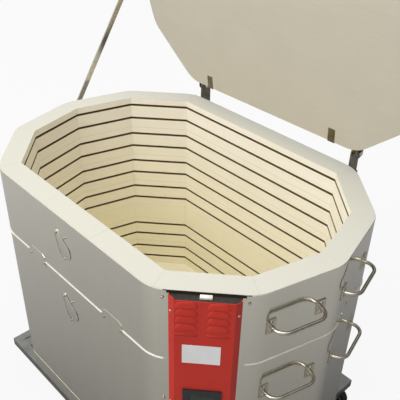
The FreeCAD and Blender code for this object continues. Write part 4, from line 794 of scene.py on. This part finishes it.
def makeCover(name, drop, made):
    rounds = []
    for (x, down), radius in (((0, 0), made["eyeRadius"]), (made["disc"], made["discRadius"])):
        clearSelection()
        bpy.ops.mesh.primitive_cylinder_add(vertices=64, radius=radius * mm, depth=made["sheet"] * mm,
                                            location=(x * mm, 0, -down * mm), rotation=(math.radians(90), 0, 0))
        rounds.append(bpy.context.object)
    clearSelection()
    for part in rounds:
        part.select_set(True)
    bpy.context.view_layer.objects.active = rounds[0]
    bpy.ops.object.join()
    cover = bpy.context.object
    bpy.ops.object.transform_apply(location=True, rotation=True, scale=True)
    bpy.ops.object.mode_set(mode="EDIT")
    bpy.ops.mesh.select_all(action="SELECT")
    bpy.ops.mesh.convex_hull()
    bpy.ops.object.mode_set(mode="OBJECT")
    soft = cover.modifiers.new("edge", "BEVEL")
    soft.width = made["edge"] * mm
    soft.segments = 2
    soft.limit_method = "ANGLE"
    bpy.ops.object.modifier_apply(modifier="edge")
    out = skin + made["gap"] + made["sheet"] / 2
    cover.data.transform(onFace("front", made["pivot"][0], out, levels["rim"] - (made["pivot"][1] + drop) * mm))
    finishPiece(cover, "peepPlate_" + name, "jacket", "peep_cover_" + name)
    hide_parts("peep_cover_" + name)


makeCover("upper", 0, coverSet)
makeCover("lower", section, coverSet)
print("peephole covers cut")


# stops that the peephole covers rest on
stopSet = {"radius": 2.6, "length": 4, "edge": 0.7, "points": ((-22.4, 144), (-7.5, 64.7))}


def makeStops(made):
    clearSelection()
    bpy.ops.mesh.primitive_cylinder_add(vertices=20, radius=made["radius"] * mm, depth=made["length"] * mm,
                                        location=(0, -made["length"] / 2 * mm, 0),
                                        rotation=(math.radians(90), 0, 0))
    stop = bpy.context.object
    bpy.ops.object.transform_apply(location=True, rotation=True, scale=False)
    soften(stop, made["edge"], 2)
    places = [onFace("front", x, skin, levels["rim"] - (drop + lower) * mm)
              for x, drop in made["points"] for lower in (0, section)]
    stops = finishPiece(copiesOf(stop, places), "coverStops", "plated", "kiln")


makeStops(stopSet)


# caster hubs: a disc with a raised rim on each side of a wheel
hubSet = {"radius": 23, "half": 12.6, "inset": 4, "boss": 8, "sink": 1.2, "trail": 20,
          "x": 448, "y": 351.65, "z": -129.2}


def makeHub(corner, made):
    sideX = 1 if "right" in corner else -1
    sideY = 1 if "rear" in corner else -1
    clearSelection()
    bpy.ops.mesh.primitive_cylinder_add(vertices=48, radius=made["radius"] * mm, depth=made["half"] * 2 * mm,
                                        location=(0, 0, 0))
    hub = bpy.context.object
    bpy.ops.object.mode_set(mode="EDIT")
    shape = bmesh.from_edit_mesh(hub.data)
    bpy.ops.mesh.select_all(action="DESELECT")
    for face in shape.faces:
        if abs(face.normal.z) > 0.9:
            face.select = True
    bmesh.update_edit_mesh(hub.data)
    bpy.ops.mesh.inset(thickness=made["inset"] * mm, use_individual=True)
    bpy.ops.mesh.extrude_region_shrink_fatten(TRANSFORM_OT_shrink_fatten={"value": -made["sink"] * mm})
    bpy.ops.mesh.inset(thickness=made["boss"] * mm, use_individual=True)
    bpy.ops.mesh.extrude_region_shrink_fatten(TRANSFORM_OT_shrink_fatten={"value": made["sink"] * mm})
    bpy.ops.object.mode_set(mode="OBJECT")
    place = Matrix.Translation(((sideX * made["x"] + made["trail"]) * mm, sideY * made["y"] * mm, made["z"] * mm))
    hub.data.transform(place @ Matrix.Rotation(math.radians(90), 4, "X"))
    finishPiece(hub, "hub_" + corner, "hub", "caster_wheel_" + corner)


for corner in corners:
    makeHub(corner, hubSet)


# the controller's display behind its glass
screenSet = {"size": (59, 0.5, 23), "edge": 0.2, "along": 99.5, "level": rimHeight - 334, "out": boxFront + 3.1}


def makeScreen(made):
    screen = softBlock(made["size"], made["edge"])
    screen.data.transform(onFace("rightFront", made["along"], made["out"], made["level"] * mm))
    finishPiece(screen, "screenGlass", "screen", "kiln")


makeScreen(screenSet)
print("fittings added")


# stage: a light floor with a painted pool of shade round the kiln, white surroundings and soft lamps
# near and far give the floor's colour by its distance from the kiln, darker near it as a painted pool of shade
stageSet = {"size": 14.0, "shine": 0.92, "near": 0.26, "far": 0.56, "reach": (0.5, 1.9),
            "dim": 0.1, "bright": 0.95, "facing": (-0.5, 0.8), "toward": (-0.58, -0.62, 0.53)}
lampSet = {"softLamp": ((-0.1, -2.7, 3.0), 1.8, 40.0), "topLamp": ((0.0, -0.3, 3.2), 2.2, 33.0)}
lampAim = (0, 0, 0.4)


def makeStage(made):
    clearSelection()
    bpy.ops.mesh.primitive_plane_add(size=made["size"], location=(0, 0, levels["floor"]))
    floor = bpy.context.object
    floor.name = "floor"
    material, tree, shader = newMaterial("floorWithShadePool", 0.0, 0.9)
    shader.inputs["Specular IOR Level"].default_value = 0.1
    place = tree.nodes.new("ShaderNodeTexCoord")
    away = addNode(tree, "ShaderNodeVectorMath", operation="LENGTH")
    tree.links.new(place.outputs["Object"], away.inputs[0])
    # painted shade: the floor's colour darkens towards the kiln, seen in the jacket's reflections and in bounce
    # light
    shadePool = rangeOf(tree, away.outputs["Value"], *made["reach"], made["near"], made["far"])
    tree.links.new(shadePool, shader.inputs["Base Color"])
    light = tree.nodes.new("ShaderNodeLightPath")
    glow = addNode(tree, "ShaderNodeEmission", Strength=1.0)
    blend = tree.nodes.new("ShaderNodeMixShader")
    tree.links.new(sumOf(tree, "MULTIPLY", light.outputs["Is Camera Ray"], made["shine"]), blend.inputs[0])
    tree.links.new(shader.outputs[0], blend.inputs[1])
    tree.links.new(glow.outputs[0], blend.inputs[2])
    tree.links.new(blend.outputs[0], tree.nodes["Material Output"].inputs["Surface"])
    floor.data.materials.append(material)
    world = bpy.data.worlds.new("whiteRoom")
    bpy.context.scene.world = world
    world.use_nodes = True
    tree = world.node_tree
    ground = tree.nodes["Background"]
    ground.inputs["Color"].default_value = (1, 1, 1, 1)
    place = tree.nodes.new("ShaderNodeTexCoord")
    facing = addNode(tree, "ShaderNodeVectorMath", operation="DOT_PRODUCT")
    tree.links.new(place.outputs["Generated"], facing.inputs[0])
    facing.inputs[1].default_value = made["toward"]
    glow = rangeOf(tree, facing.outputs["Value"], *made["facing"], made["dim"], made["bright"])
    seen = tree.nodes.new("ShaderNodeLightPath").outputs["Is Camera Ray"]
    tree.links.new(sumOf(tree, "MAXIMUM", glow, seen), ground.inputs["Strength"])


def makeLamps(lamps):
    for name, (place, size, power) in lamps.items():
        data = bpy.data.lights.new(name, "AREA")
        data.energy = power
        data.size = size
        lamp = bpy.data.objects.new(name, data)
        bpy.context.collection.objects.link(lamp)
        lamp.location = place
        lamp.rotation_euler = (Vector(lampAim) - Vector(place)).to_track_quat("-Z", "Y").to_euler()


makeStage(stageSet)
makeLamps(lampSet)
print("stage set")
